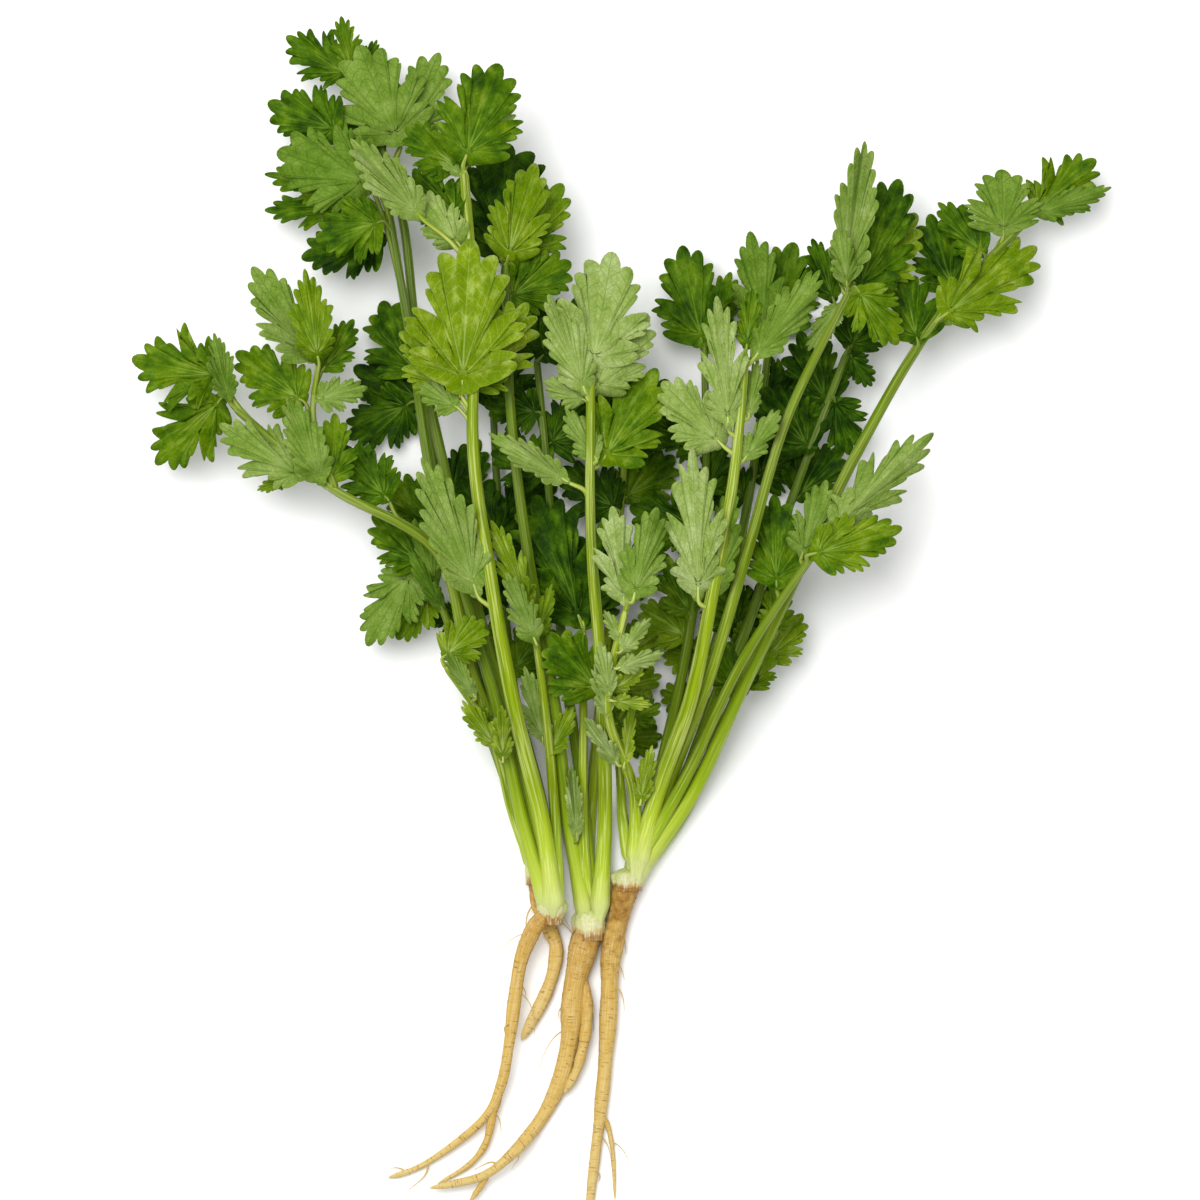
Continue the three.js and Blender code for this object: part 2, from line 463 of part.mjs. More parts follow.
// Stems rest against each other: where two lines come closer than their radii allow, both give
// way, and each round smooths what they gave way by along the stem.
function settle(stems) {
  for (let round = 0; round < ROUNDS; round++) {
    const pushes = stems.map((stem) => stem.main.map(() => new THREE.Vector3()));
    stems.forEach((one, a) => one.main.forEach((p, i) => {
      if (one.home.distanceTo(p) < one.homeRadius) return;
      for (const { centre, reach } of one.shun) {
        const away = p.clone().sub(centre);
        const short = reach + one.radiusAt(i / STEPS) + GAP - away.length();
        if (short > 0) pushes[a][i].addScaledVector(away.normalize(), short * GIVE);
      }
      stems.forEach((other, b) => {
        if (a === b || !one.box.intersectsBox(other.box)) return;
        for (let j = 0; j < STEPS; j++) {
          const reach = one.radiusAt(i / STEPS) + other.radiusAt(j / STEPS) + GAP;
          if (Math.abs(other.main[j].x - p.x) > reach + STRIDE) continue;
          if (Math.abs(other.main[j].y - p.y) > reach + STRIDE) continue;
          const { point, t } = nearest(p, other.main[j], other.main[j + 1]);
          if (other.home.distanceTo(point) < other.homeRadius) continue;
          const away = p.clone().sub(point);
          const short = reach - away.length();
          if (short <= 0) continue;
          away.normalize().multiplyScalar(short * GIVE);
          pushes[a][i].add(away);
          pushes[b][j].addScaledVector(away, t - 1);
          pushes[b][j + 1].addScaledVector(away, -t);
        }
      });
    }));
    stems.forEach((stem, a) => {
      for (let pass = 0; pass < 2; pass++) {
        pushes[a] = pushes[a].map((p, i) => p.clone().multiplyScalar(0.5)
          .addScaledVector(pushes[a][Math.max(0, i - 1)], 0.25)
          .addScaledVector(pushes[a][Math.min(STEPS, i + 1)], 0.25));
      }
      stem.main.forEach((p, i) => {
        p.add(pushes[a][i].clampLength(0, 1).multiplyScalar(smoothstep(i, 0, 2)));
        p.z = Math.max(p.z, stem.radiusAt(i / STEPS));
      });
    });
  }
}

// The largest body of a solid, without the hollows and scraps that a cut or union leaves.
function biggest(solid) {
  const bodies = solid.decompose();
  return bodies.sort((a, b) => b.volume() - a.volume())[0];
}

// The solid with its shortest edges closed up, or null where that can't be done cleanly.
function welded(solid) {
  const { numProp, vertProperties, triVerts } = solid.getMesh();
  const keys = new Map();
  const points = [];
  const at = [];
  for (let i = 0; i < vertProperties.length; i += numProp) {
    const point = [0, 1, 2].map((k) => Math.round(vertProperties[i + k] / WELD) * WELD);
    const key = point.map((c) => c.toFixed(4)).join();
    if (!keys.has(key)) keys.set(key, points.push(point) - 1);
    at.push(keys.get(key));
  }
  const index = [];
  for (let i = 0; i < triVerts.length; i += 3) {
    const [a, b, c] = [at[triVerts[i]], at[triVerts[i + 1]], at[triVerts[i + 2]]];
    if (a !== b && b !== c && c !== a) index.push(a, b, c);
  }
  const edges = new Map();
  for (let i = 0; i < index.length; i += 3) {
    for (let k = 0; k < 3; k++) {
      const [a, b] = [index[i + k], index[i + ((k + 1) % 3)]];
      const key = a < b ? `${a},${b}` : `${b},${a}`;
      edges.set(key, (edges.get(key) ?? 0) + 1);
    }
  }
  if ([...edges.values()].some((count) => count !== 2)) return null;
  const geometry = new THREE.BufferGeometry();
  geometry.setAttribute("position", new THREE.Float32BufferAttribute(points.flat(), 3));
  geometry.setIndex(index);
  return geometry;
}

// The mesh of a solid, simplified as far as it stays clean.
function cleanMesh(solid) {
  for (const tolerance of TOLERANCES) {
    const geometry = welded(biggest(solid.simplify(tolerance)));
    if (geometry) return geometry;
  }
  return welded(solid);
}

function boxesMeet(a, b, margin) {
  const [p, q] = [a.boundingBox(), b.boundingBox()];
  return [0, 1, 2].every((k) => p.min[k] - margin < q.max[k] && q.min[k] - margin < p.max[k]);
}

function touches(a, b, gap = GAP) {
  return boxesMeet(a, b, gap) && a.minGap(b, gap) < gap;
}

// Roots of one plant, fused, with a knobbly radius worked out along each of them.
function rootSolid(plant) {
  const parts = plant.roots.map(({ line, heights, radii }) => {
    const points = line.map((p, i) => new THREE.Vector3(...onTable(p), heights[i]));
    const knobs = (t) => 1 + KNOB * Math.sin(KNOBS * t + line[0][0]);
    return tube(points, (t) => lerp(radii[0], radii[1], t ** ROOT_TAPER) * knobs(t), ROOT_SIDES);
  });
  return wasm.Manifold.union(parts);
}

function crownSolid({ x, y, radius, length, height }, extra) {
  const ball = new THREE.SphereGeometry(1, CROWN_SIDES, CROWN_RINGS);
  ball.deleteAttribute("normal");
  ball.deleteAttribute("uv");
  const [cx, cy] = onTable([x, y]);
  return toSolid(ball.scale(radius + extra, length + extra, radius + extra).translate(cx, cy, height));
}

// What of a solid is over the table.
function overTable(solid) {
  return solid.trimByPlane([0, 0, 1], 0);
}

const solids = new Map();
const clearances = Object.values(PLANTS).map((plant) => crownSolid(plant.crown, GAP));
for (const [name, plant] of Object.entries(PLANTS)) {
  solids.set(`${name}_crown`, overTable(crownSolid(plant.crown, 0)));
}
for (const [name, plant] of Object.entries(PLANTS)) {
  let root = overTable(rootSolid(plant));
  for (const clearance of clearances) root = root.subtract(clearance);
  solids.set(`${name}_root`, biggest(root));
}

// Stems first, each clear of the crowns, roots and stems before it.
const balls = Object.entries(PLANTS).map(([plant, { crown }]) => ({
  plant,
  centre: new THREE.Vector3(...onTable([crown.x, crown.y]), crown.height),
  reach: crown.radius,
}));
const stems = Object.entries(STEMS).map(([name, [plant, layer, radius, lines, leaflets]]) => {
  const main = stemLine(lines[0], layer, PLANTS[plant].crown);
  const ball = balls.find((b) => b.plant === plant);
  return {
    name,
    layer,
    leaflets,
    main,
    branch: lines[1],
    radiusAt: (t) => radius * lerp(1, TAPER, t),
    home: ball.centre,
    homeRadius: ball.reach + HOME_RIM,
    shun: balls.filter((b) => b !== ball),
    box: new THREE.Box3().setFromPoints(main).expandByScalar(STRIDE),
  };
});
settle(stems);
for (const stem of stems) {
  const lines = [stem.main];
  if (stem.branch) lines.push(stemLine(stem.branch, stem.layer, null));
  stem.knots = lines.map((points) => {
    const curve = new THREE.CatmullRomCurve3(points, false, "centripetal");
    const steps = Math.max(3, Math.round(curve.getLength() / STRETCH));
    return Array.from({ length: steps + 1 }, (_, k) => curve.getPoint((k / steps) ** CROWDING));
  });
  stem.chords = stem.knots.map((knots) => {
    const path = new THREE.CurvePath();
    knots.slice(1).forEach((knot, i) => path.add(new THREE.LineCurve3(knots[i], knot)));
    return path.getSpacedPoints(CHORDS);
  });
  const shape = (extra) => wasm.Manifold.union(stem.knots.map((knots, i) => tube(knots,
    (t) => stem.radiusAt(t ** CROWDING) * (i ? BRANCH : 1) + extra, STEM_SIDES)));
  stem.solid = shape(0);
  stem.clear = shape(GAP);
  stem.sleeve = shape(SLEEVE);
}
stems.forEach((stem, i) => {
  for (const clearance of clearances) stem.solid = stem.solid.subtract(clearance);
  for (const other of stems.slice(0, i)) {
    if (boxesMeet(stem.solid, other.clear, 0)) stem.solid = stem.solid.subtract(other.clear);
  }
  for (const other of solids.values()) {
    if (touches(stem.solid, other)) stem.solid = stem.solid.subtract(other);
  }
  stem.solid = overTable(biggest(stem.solid));
});

// Then the leaflets, each lifted and bent at its tip as little as keeps it clear of every other
// node and of its own neighbours.
const LIFTS = [0, 1.2, -1.2, 2.4, -2.4, 3.6, -3.6, 5];
const BENDS = [0, 1.5, -1.5, 3, -3, 5, -5, 7.5, -7.5];
const LIFT_COST = 1.5; // a lift counts for more than a bend
const cost = ([lift, bend]) => Math.hypot(lift * LIFT_COST, bend);
const tries = LIFTS.flatMap((lift) => BENDS.map((bend) => [lift, bend]));
tries.sort((a, b) => cost(a) - cost(b));
let seed = 0;
for (const stem of stems) {
  stem.joined = stem.solid;
  const own = [];
  for (const row of stem.leaflets) {
    seed += 1;
    const others = stems.filter((s) => s !== stem).map((s) => s.joined ?? s.solid);
    const fixed = [...others, ...solids.values()];
    tries.some(([lift, bend]) => {
      const leaf = leafletMap(row, stem.layer, seed, lift, bend);
      const bare = blade(leaf, seed).subtract(stem.sleeve);
      if (fixed.some((other) => touches(bare, other))) return false;
      if (own.some((other) => touches(bare, other, OWN_GAP))) return false;
      return feetOf(leaf, stem.chords).some((foot) => {
        const made = blade(leaf, seed, foot);
        if (fixed.some((other) => touches(made, other))) return false;
        const free = made.subtract(stem.sleeve);
        if (own.some((other) => touches(free, other, OWN_GAP))) return false;
        const joined = biggest(stem.joined.add(made));
        const least = stem.joined.volume() + free.volume() * MOST;
        if (joined.volume() < least || !welded(joined)) return false;
        stem.joined = joined;
        own.push(free);
        return true;
      });
    });
  }
  solids.set(stem.name, stem.joined);
}

const green = new THREE.MeshStandardMaterial({ color: 0x4f7d12, roughness: 0.6, metalness: 0 });
const pale = new THREE.MeshStandardMaterial({ color: 0xc9d68a, roughness: 0.5, metalness: 0 });
const tan = new THREE.MeshStandardMaterial({ color: 0xcfa050, roughness: 0.75, metalness: 0 });

const bunch = new THREE.Group();
for (const [name, solid] of solids) {
  const material = name.endsWith("_root") ? tan : name.endsWith("_crown") ? pale : green;
  const mesh = new THREE.Mesh(cleanMesh(solid), material);
  mesh.name = name;
  bunch.add(mesh);
}

export default bunch;
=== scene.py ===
import bpy
import numpy as np
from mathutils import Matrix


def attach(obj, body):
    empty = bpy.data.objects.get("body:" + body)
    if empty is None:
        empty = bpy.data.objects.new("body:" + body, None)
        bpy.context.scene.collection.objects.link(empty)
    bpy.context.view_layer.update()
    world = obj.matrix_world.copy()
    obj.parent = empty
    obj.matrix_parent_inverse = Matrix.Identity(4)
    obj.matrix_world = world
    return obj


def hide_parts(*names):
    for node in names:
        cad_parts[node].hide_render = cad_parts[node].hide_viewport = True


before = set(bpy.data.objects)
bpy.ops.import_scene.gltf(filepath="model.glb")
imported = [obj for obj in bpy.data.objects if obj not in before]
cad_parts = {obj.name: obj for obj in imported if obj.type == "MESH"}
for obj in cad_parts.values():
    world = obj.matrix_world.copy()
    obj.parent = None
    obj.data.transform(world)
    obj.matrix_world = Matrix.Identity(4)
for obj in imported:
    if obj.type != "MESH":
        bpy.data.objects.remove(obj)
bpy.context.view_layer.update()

# Taproots: four tan roots, each a tapering main root with a branch or two and fine rootlets.
# Fibrous root flesh under a thin ringed skin. They grow out of the crowns as one piece with them.
# The layout is in drawing units with y running down, the point MIDDLE above the origin.
LENGTH, DRAWN_LENGTH = 315, 1212  # of the bunch, in millimetres and in drawing units
MM = LENGTH / DRAWN_LENGTH
MIDDLE = np.array([622, 620])
METRE = 1000
# A crown is its x, y, half width, half length and height. A root branch is its line, the heights of
# the line's points, and its radius at either end. Sizes and heights are in millimetres.
PLANTS = {
    "left": {
        "crown": (534, 872, 2.7, 4.2, 3.4), "roots": [
            ([(535, 876), (538, 905), (549, 932), (556, 956), (546, 996), (521, 1044)],
             [3.2, 2.8, 2.2, 2.1, 2, 1.9], (2.3, 1.6))]},
    "middle_left": {
        "crown": (552, 908, 4, 5, 9.4), "roots": [
            ([(550, 914), (534, 930), (520, 965), (513, 1010), (508, 1050), (500, 1090),
              (484, 1122), (450, 1152), (415, 1174), (386, 1184)],
             [9.2, 9, 7.6, 6.6, 7.2, 5.6, 3.8, 2.4, 1.6, 1.1], (2.5, .6)),
            ([(500, 1092), (492, 1118), (484, 1150), (466, 1172), (436, 1190)],
             [5.4, 3.6, 2.4, 1.6, 1], (1.5, .5))]},
    "middle": {
        "crown": (589, 922, 4.5, 5.6, 3.7), "roots": [
            ([(589, 930), (581, 960), (573, 1000), (570, 1040), (560, 1085), (540, 1125),
              (512, 1158), (480, 1182), (428, 1194)],
             [3.7, 3.2, 2.8, 2.5, 2.2, 1.9, 6, 5, 3.4], (4.1, .8)),
            ([(586, 985), (586, 1030), (578, 1070), (564, 1098)], [4, 4.4, 3.9, 3.2], (1.9, 1)),
            ([(490, 1176), (478, 1194), (466, 1212)], [5.2, 3.6, 2], (1.3, .5))]},
    "right": {
        "crown": (628, 876, 4.3, 4.6, 4.8), "roots": [
            ([(628, 882), (620, 915), (611, 960), (609, 1010), (605, 1070), (600, 1120),
              (594, 1170), (588, 1226)], [4.7, 4.2, 3.6, 3.2, 2.7, 2.2, 1.7, 1.2], (3.6, 1)),
            ([(601, 1118), (608, 1132), (613, 1160), (615, 1206)], [2.2, 1.8, 1.3, .9], (.9, .4))]},
}


def on_table(points):
    """Drawing points in millimetres: their distance from MIDDLE times the scale, y turned up."""
    points = np.asarray(points, float) - MIDDLE
    return points * (MM, -MM)


def curve(points, at):
    """Smooth line through points: between two of them the cubic whose slopes at either end are half
    the chord between the neighbours there. at runs evenly from 0 to 1 over the points."""
    points = np.asarray(points, float)
    at = np.asarray(at) * (len(points) - 1)
    i = np.minimum(at.astype(int), len(points) - 2)
    w = (at - i)[:, None]
    a, b, c, d = (points[np.clip(i + k, 0, len(points) - 1)] for k in (-1, 0, 1, 2))
    slope_b, slope_c = (c - a) / 2, (d - b) / 2
    return ((2 * b - 2 * c + slope_b + slope_c) * w**3
            + (3 * c - 3 * b - 2 * slope_b - slope_c) * w**2 + slope_b * w + b)


def spaced(points, steps):
    """The same line cut into steps of equal length, measured along 200 short chords."""
    fine = np.linspace(0, 1, 201)
    chords = np.linalg.norm(np.diff(curve(points, fine), axis=0), axis=1)
    length = np.append(0, np.cumsum(chords))
    return curve(points, np.interp(np.linspace(0, length[-1], steps + 1), length, fine))


def ease(x, low, high):
    """Smooth step: 0 below low, 1 above high, the cubic 3x²-2x³ between."""
    x = np.clip((x - low) / (high - low), 0, 1)
    return x * x * (3 - 2 * x)


def frame_of(line):
    """Unit vectors along a line, level across it and up from it, at each of its points."""
    ahead = np.gradient(line, axis=0)
    ahead /= np.linalg.norm(ahead, axis=1)[:, None]
    across = np.cross((0, 0, 1), ahead)
    across /= np.linalg.norm(across, axis=1)[:, None]
    return ahead, across, np.cross(ahead, across)


def shell(rings, first, last, **values):
    """A closed skin over a stack of rings: quads between neighbours in a ring and in the next ring,
    and triangles from the first and last ring to the two poles. values go with the points, the
    poles' own being the mean of their ring's. A negative volume turns the faces round."""
    count, around = rings.shape[:2]
    i, j = np.meshgrid(np.arange(count - 1) * around, np.arange(around), indexing="ij")
    k = (j + 1) % around
    quads = np.stack([i + j, i + k, i + around + k, i + around + j], -1).reshape(-1, 4)
    end, j, k = (count - 1) * around, np.arange(around), (np.arange(around) + 1) % around
    pole = np.full(around, count * around)
    tips = np.vstack([np.stack([pole, k, j], -1), np.stack([pole + 1, end + j, end + k], -1)])
    points = np.vstack([rings.reshape(-1, 3), first, last])
    extra = {}
    for name, value in values.items():
        value = np.broadcast_to(value, rings.shape[:2] + np.shape(value)[2:]).astype(float)
        poles = np.stack([value[0].mean(0), value[-1].mean(0)])
        extra[name] = np.concatenate([value.reshape((-1,) + value.shape[2:]), poles])
    a, b, c = (points[tips[:, n]] for n in range(3))
    d = [points[quads[:, n]] for n in range(4)]
    volume = (np.cross(a, b) * c).sum() + (np.cross(d[0], d[1]) * d[2]).sum() + (
        np.cross(d[0], d[2]) * d[3]).sum()
    if volume < 0:
        quads, tips = quads[:, ::-1], tips[:, ::-1]
    return points, quads, tips, extra


def angles(sides):
    """The directions of so many points spaced evenly round a ring."""
    return np.arange(sides) / sides * 2 * np.pi


def ringed(line, radius, angle, length):
    """Rings across a line: each point is the line's plus radius times the cosine of its angle
    across and the sine up. grain is the ring's own x and y, and the length along the line."""
    _, across, up = frame_of(line)
    ring = across[:, None] * np.cos(angle)[:, None] + up[:, None] * np.sin(angle)[:, None]
    grain = np.broadcast_arrays(radius * np.cos(angle), radius * np.sin(angle), length[:, None])
    return line[:, None] + ring * radius[..., None], np.stack(grain, -1)


def tube(line, radius, sides, ribs=0, rib=0.0, **values):
    """A round stalk or root along a line: at each point a ring of the given radius across the line,
    its radius swelling and sinking by rib in ribs waves round it, closed by a low dome at each end,
    half a step beyond the line."""
    angle = angles(sides)
    radius = radius * (1 + rib * np.cos(ribs * angle))
    length = np.append(0, np.cumsum(np.linalg.norm(np.diff(line, axis=0), axis=1)))
    rings, grain = ringed(line, radius, angle, length)
    return shell(rings, line[0] * 1.5 - line[1] * .5, line[-1] * 1.5 - line[-2] * .5, grain=grain,
                 **values)


def piece(name, groups, slot, *nodes):
    """One mesh of several shells, in metres. groups lists (material, shells). The faces go in as
    one run of corner numbers, and each value that goes with the points becomes an attribute."""
    points, corners, starts, slots, extras = [], [], [], [], {}
    first, corner = 0, 0
    names = {key: np.shape(value)[1:] for _, shells in groups for s in shells
             for key, value in s[3].items()}
    for number, (_, shells) in enumerate(groups):
        for spots, quads, tips, extra in shells:
            points.append(spots)
            for faces in (quads, tips):
                corners.append((faces + first).ravel())
                starts.append(corner + np.arange(len(faces)) * faces.shape[1])
                slots.append(np.full(len(faces), number))
                corner += faces.size
            for key, shape in names.items():
                extras.setdefault(key, []).append(extra.get(key, np.zeros((len(spots),) + shape)))
            first += len(spots)
    mesh = bpy.data.meshes.new(name)
    mesh.vertices.add(first)
    mesh.vertices.foreach_set("co", (np.vstack(points) / METRE).ravel())
    mesh.loops.add(corner)
    mesh.loops.foreach_set("vertex_index", np.concatenate(corners))
    starts = np.concatenate(starts)
    mesh.polygons.add(len(starts))
    mesh.polygons.foreach_set("loop_start", starts)
    mesh.polygons.foreach_set("material_index", np.concatenate(slots))
    for key, shape in names.items():
        layer = mesh.attributes.new(key, "FLOAT_VECTOR" if shape else "FLOAT", "POINT")
        layer.data.foreach_set("vector" if shape else "value", np.concatenate(extras[key]).ravel())
    for material, _ in groups:
        mesh.materials.append(material)
    mesh.update(calc_edges=True)
    mesh.shade_smooth()
    made = bpy.data.objects.new(name, mesh)
    bpy.context.scene.collection.objects.link(made)
    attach(made, "root")
    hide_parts(*nodes)


LIGHT = 1.4  # a white surface's brightness in the full light of the room and the lamp


def rgb(code):
    """The linear colour of a surface that shows the given hexadecimal colour in full light."""
    parts = np.array([int(code[i:i + 2], 16) for i in (1, 3, 5)]) / 255
    return (*np.where(parts <= .04045, parts / 12.92, ((parts + .055) / 1.055) ** 2.4) / LIGHT, 1)


class Finish:
    """A material as it is built up: its nodes, its shader and short ways to add to them."""

    def __init__(self, name, **constants):
        self.material = bpy.data.materials.new(name)
        self.material.use_nodes = True
        self.tree = self.material.node_tree
        self.shader = self.tree.nodes["Principled BSDF"]
        for key, value in constants.items():
            self.shader.inputs[key.replace("_", " ")].default_value = value

    def node(self, kind, inputs=None, output=0, **settings):
        made = self.tree.nodes.new("ShaderNode" + kind)
        for key, value in settings.items():
            setattr(made, key, value)
        for key, value in (inputs or {}).items():
            if isinstance(value, bpy.types.NodeSocket):
                self.tree.links.new(value, made.inputs[key])
            else:
                made.inputs[key].default_value = value
        return made.outputs[output]

    def calc(self, operation, a, b):
        return self.node("Math", {0: a, 1: b}, operation=operation)

    def times(self, a, b):
        return self.calc("MULTIPLY", a, b)

    def plus(self, a, b, share=1.0):
        return self.calc("ADD", a, b if share == 1 else self.times(b, share))

    def value(self, name):
        return self.node("Attribute", output="Fac", attribute_name=name)

    def vector(self, name):
        return self.node("Attribute", output="Vector", attribute_name=name)

    def noise(self, vector, scale, detail, stretch=None):
        if stretch:
            vector = self.node("VectorMath", {0: vector, 1: stretch}, operation="MULTIPLY")
        return self.node("TexNoise", {"Vector": vector, "Scale": scale, "Detail": detail})

    def ramp(self, factor, *stops):
        made = self.tree.nodes.new("ShaderNodeValToRGB")
        self.tree.links.new(factor, made.inputs[0])
        while len(made.color_ramp.elements) < len(stops):
            made.color_ramp.elements.new(.5)
        for element, (position, code) in zip(made.color_ramp.elements, stops):
            element.position = position
            element.color = rgb(code)
        return made.outputs[0]

    def fade(self, value, start, end, low=0.0, high=1.0):
        return self.node("MapRange", {0: value, 1: start, 2: end, 3: low, 4: high},
                         interpolation_type="SMOOTHSTEP")

    def mix(self, factor, a, b):
        b = rgb(b) if isinstance(b, str) else b
        return self.node("Mix", {0: factor, 6: a, 7: b}, output=2, data_type="RGBA")

    def done(self, colour, height, depth, strength, roughness=None):
        bump = self.node("Bump", {"Height": height, "Distance": depth, "Strength": strength})
        self.tree.links.new(colour, self.shader.inputs["Base Color"])
        self.tree.links.new(bump, self.shader.inputs["Normal"])
        if roughness:
            self.tree.links.new(roughness, self.shader.inputs["Roughness"])
        return self.material


# Root skin: tan, in fine rings across the root, darker where it meets the crown and in short
# marks where rootlets broke off, paler towards the tips.
skin = Finish("root_skin", Roughness=.62, Specular_IOR_Level=.2)
grain = skin.vector("grain")
rings = skin.noise(grain, 1.0, 4, (.22, .22, 1.6))
marks = skin.noise(grain, 1.0, 2, (.5, .5, 3.2))
fibres = skin.noise(grain, 1.0, 3, (2.6, 2.6, .12))
grime = skin.noise(grain, 1.0, 5, (.55, .55, .5))
tan = skin.ramp(skin.value("down"), (0, "#b78432"), (.06, "#cda048"), (.3, "#dab254"),
                (.6, "#e0bb60"), (1, "#e6cb80"))
worn = skin.plus(grime, skin.value("stain"), .5)
for mask, start, end, share, code in (
        (rings, .5, .72, .4, "#c08c38"), (fibres, .4, .7, .45, "#f3dfa4"),
        (worn, .6, 1.08, .85, "#9a6820"), (worn, .98, 1.2, .8, "#5e3a0c"),
        (marks, .62, .68, .8, "#93652a")):
    tan = skin.mix(skin.fade(mask, start, end, 0, share), tan, code)
relief = skin.plus(skin.times(rings, -.8), fibres, .5)
root_skin = skin.done(tan, relief, .0005, .7)

ROOT_SIDES, ROOT_STEP = 24, .8  # points round a root, millimetres between its rings
SWELLING, SWELLINGS, WRINKLES = .07, 31, .045
TIP_STEPS, FORK_STEPS = 5, 7  # over which a root's tip and a side branch's start are rounded
ROOTLETS_PER_MM = .07
# How brown the top of each plant's main root is, and how far down the stain reaches.
STAINS = {"left": (1, .34), "middle_left": (.5, .25), "middle": (.9, .16), "right": (.9, .55)}
draws = np.random.default_rng(11)


def root(line, heights, radii, turn, stain, branch):
    """A root along its line, stained brown from its top as far down as stain says. It tapers from
    the first radius to the second, swells and sinks in the slow wave of the CAD root, and carries
    fine wrinkles, sums of waves along and round it. A side branch also has a rounded start."""
    track = np.column_stack([on_table(line), heights])
    steps = max(12, int(np.linalg.norm(np.diff(track, axis=0), axis=1).sum() / ROOT_STEP))
    track = curve(track, np.linspace(0, 1, steps + 1))
    t = np.linspace(0, 1, steps + 1)
    radius = radii[0] + (radii[1] - radii[0]) * t**.8
    radius = radius * (1 + SWELLING * np.sin(SWELLINGS * t + line[0][0]))
    angle = angles(ROOT_SIDES)
    s = np.arange(steps + 1)[:, None] * ROOT_STEP
    wrinkle = (.35 * np.sin(1.9 * s + turn + 1.3 * np.sin(2 * angle + turn))
               + .3 * np.sin(3.7 * s + 2 * np.sin(angle + 2 * turn))
               + .35 * np.sin(.6 * s + 3 * angle))
    radius = radius[:, None] * (1 + WRINKLES * wrinkle)
    end = np.sqrt(np.clip((1 - t) * steps / TIP_STEPS, 0, 1))
    if branch:
        end *= np.sqrt(np.clip(t * steps / FORK_STEPS, .1, 1))
    track[:, 2] = np.maximum(track[:, 2], radius.max(1) + .05)
    brown = stain[0] * (1 - ease(t, 0, stain[1]))
    return track, radius, tube(track, radius * end[:, None].clip(.15), ROOT_SIDES, down=t[:, None],
                               stain=brown[:, None])


def rootlets(track, radius):
    """Fine side roots: thin tapering threads that leave the root sideways at drawn places and bend
    down along it."""
    ahead, across, _ = frame_of(track)
    made = []
    length = len(track) * ROOT_STEP
    for _ in range(int(length * ROOTLETS_PER_MM)):
        i = int(draws.uniform(.1, .95) * (len(track) - 1))
        side = draws.choice([-1, 1])
        reach = draws.uniform(2, 9) * (1.6 if draws.random() < .15 else 1)
        t = np.linspace(0, 1, 9)[:, None]
        start = track[i] + across[i] * side * radius[i].mean() * .6
        wave = np.sin(t * draws.uniform(2, 5) + draws.uniform(0, 6)) * .35 * t
        thread = (start + across[i] * side * reach * (.75 * t - .3 * t**2)
                  + ahead[i] * reach * (.35 * t + .6 * t**2) + across[i] * wave)
        thread[:, 2] = np.maximum(.35, start[2] * (1 - .5 * t[:, 0]))
        thick = draws.uniform(.14, .32)
        made.append(tube(thread, thick * (1 - .7 * t), 6, down=.6 + .4 * t, stain=t * .3))
    return made


for number, (plant, shape) in enumerate(PLANTS.items()):
    made = []
    for branch, (line, heights, radii) in enumerate(shape["roots"]):
        stain = STAINS[plant] if branch == 0 else (0, 1)
        track, radius, skin_of = root(line, heights, radii, number * 2.1 + branch, stain, branch)
        made.append(skin_of)
        made += rootlets(track, radius)
    piece(f"{plant}_taproot", [(root_skin, made)], "root", f"{plant}_root")

# Crowns: where a plant's stems sheathe each other and pass into its root. Moist pale flesh,
# fluted by the stem bases, with a brown rim where the root's skin begins.
flesh = Finish("crown_flesh", Roughness=.42, Specular_IOR_Level=.25, Subsurface_Weight=.1,
               Subsurface_Scale=.002)
grain = flesh.vector("grain")
streaks = flesh.noise(grain, 1.0, 3, (1.6, 1.6, .1))
blots = flesh.noise(grain, .6, 2)
grime = flesh.noise(grain, 1.3, 5)
lower = flesh.plus(flesh.value("down"), blots, .34)
pale = flesh.ramp(lower, (.1, "#b6cb52"), (.4, "#cdd980"), (.74, "#dfe0a4"),
                  (.9, "#d2b469"), (1, "#a87530"))
pale = flesh.mix(flesh.fade(streaks, .45, .66, 0, .6), pale, "#f3f2cc")
pale = flesh.mix(flesh.fade(blots, .56, .74, 0, .4), pale, "#b7a048")
dirty = flesh.times(flesh.fade(flesh.value("down"), .45, .95), grime)
pale = flesh.mix(flesh.fade(dirty, .42, .62, 0, .75), pale, "#8f6424")
crown_flesh = flesh.done(pale, streaks, .0004, .5)

# How far up the crown shows between the stem bases, over its half length.
CROWN_TOP = {"left": .62, "middle_left": .62, "middle": .62, "right": .36}

CROWN_SIDES, CROWN_RINGS = 60, 31
WIDEST, NECK_AT, NECK_PLAY = .42, .9, 1.04  # places down the crown, neck over root radius


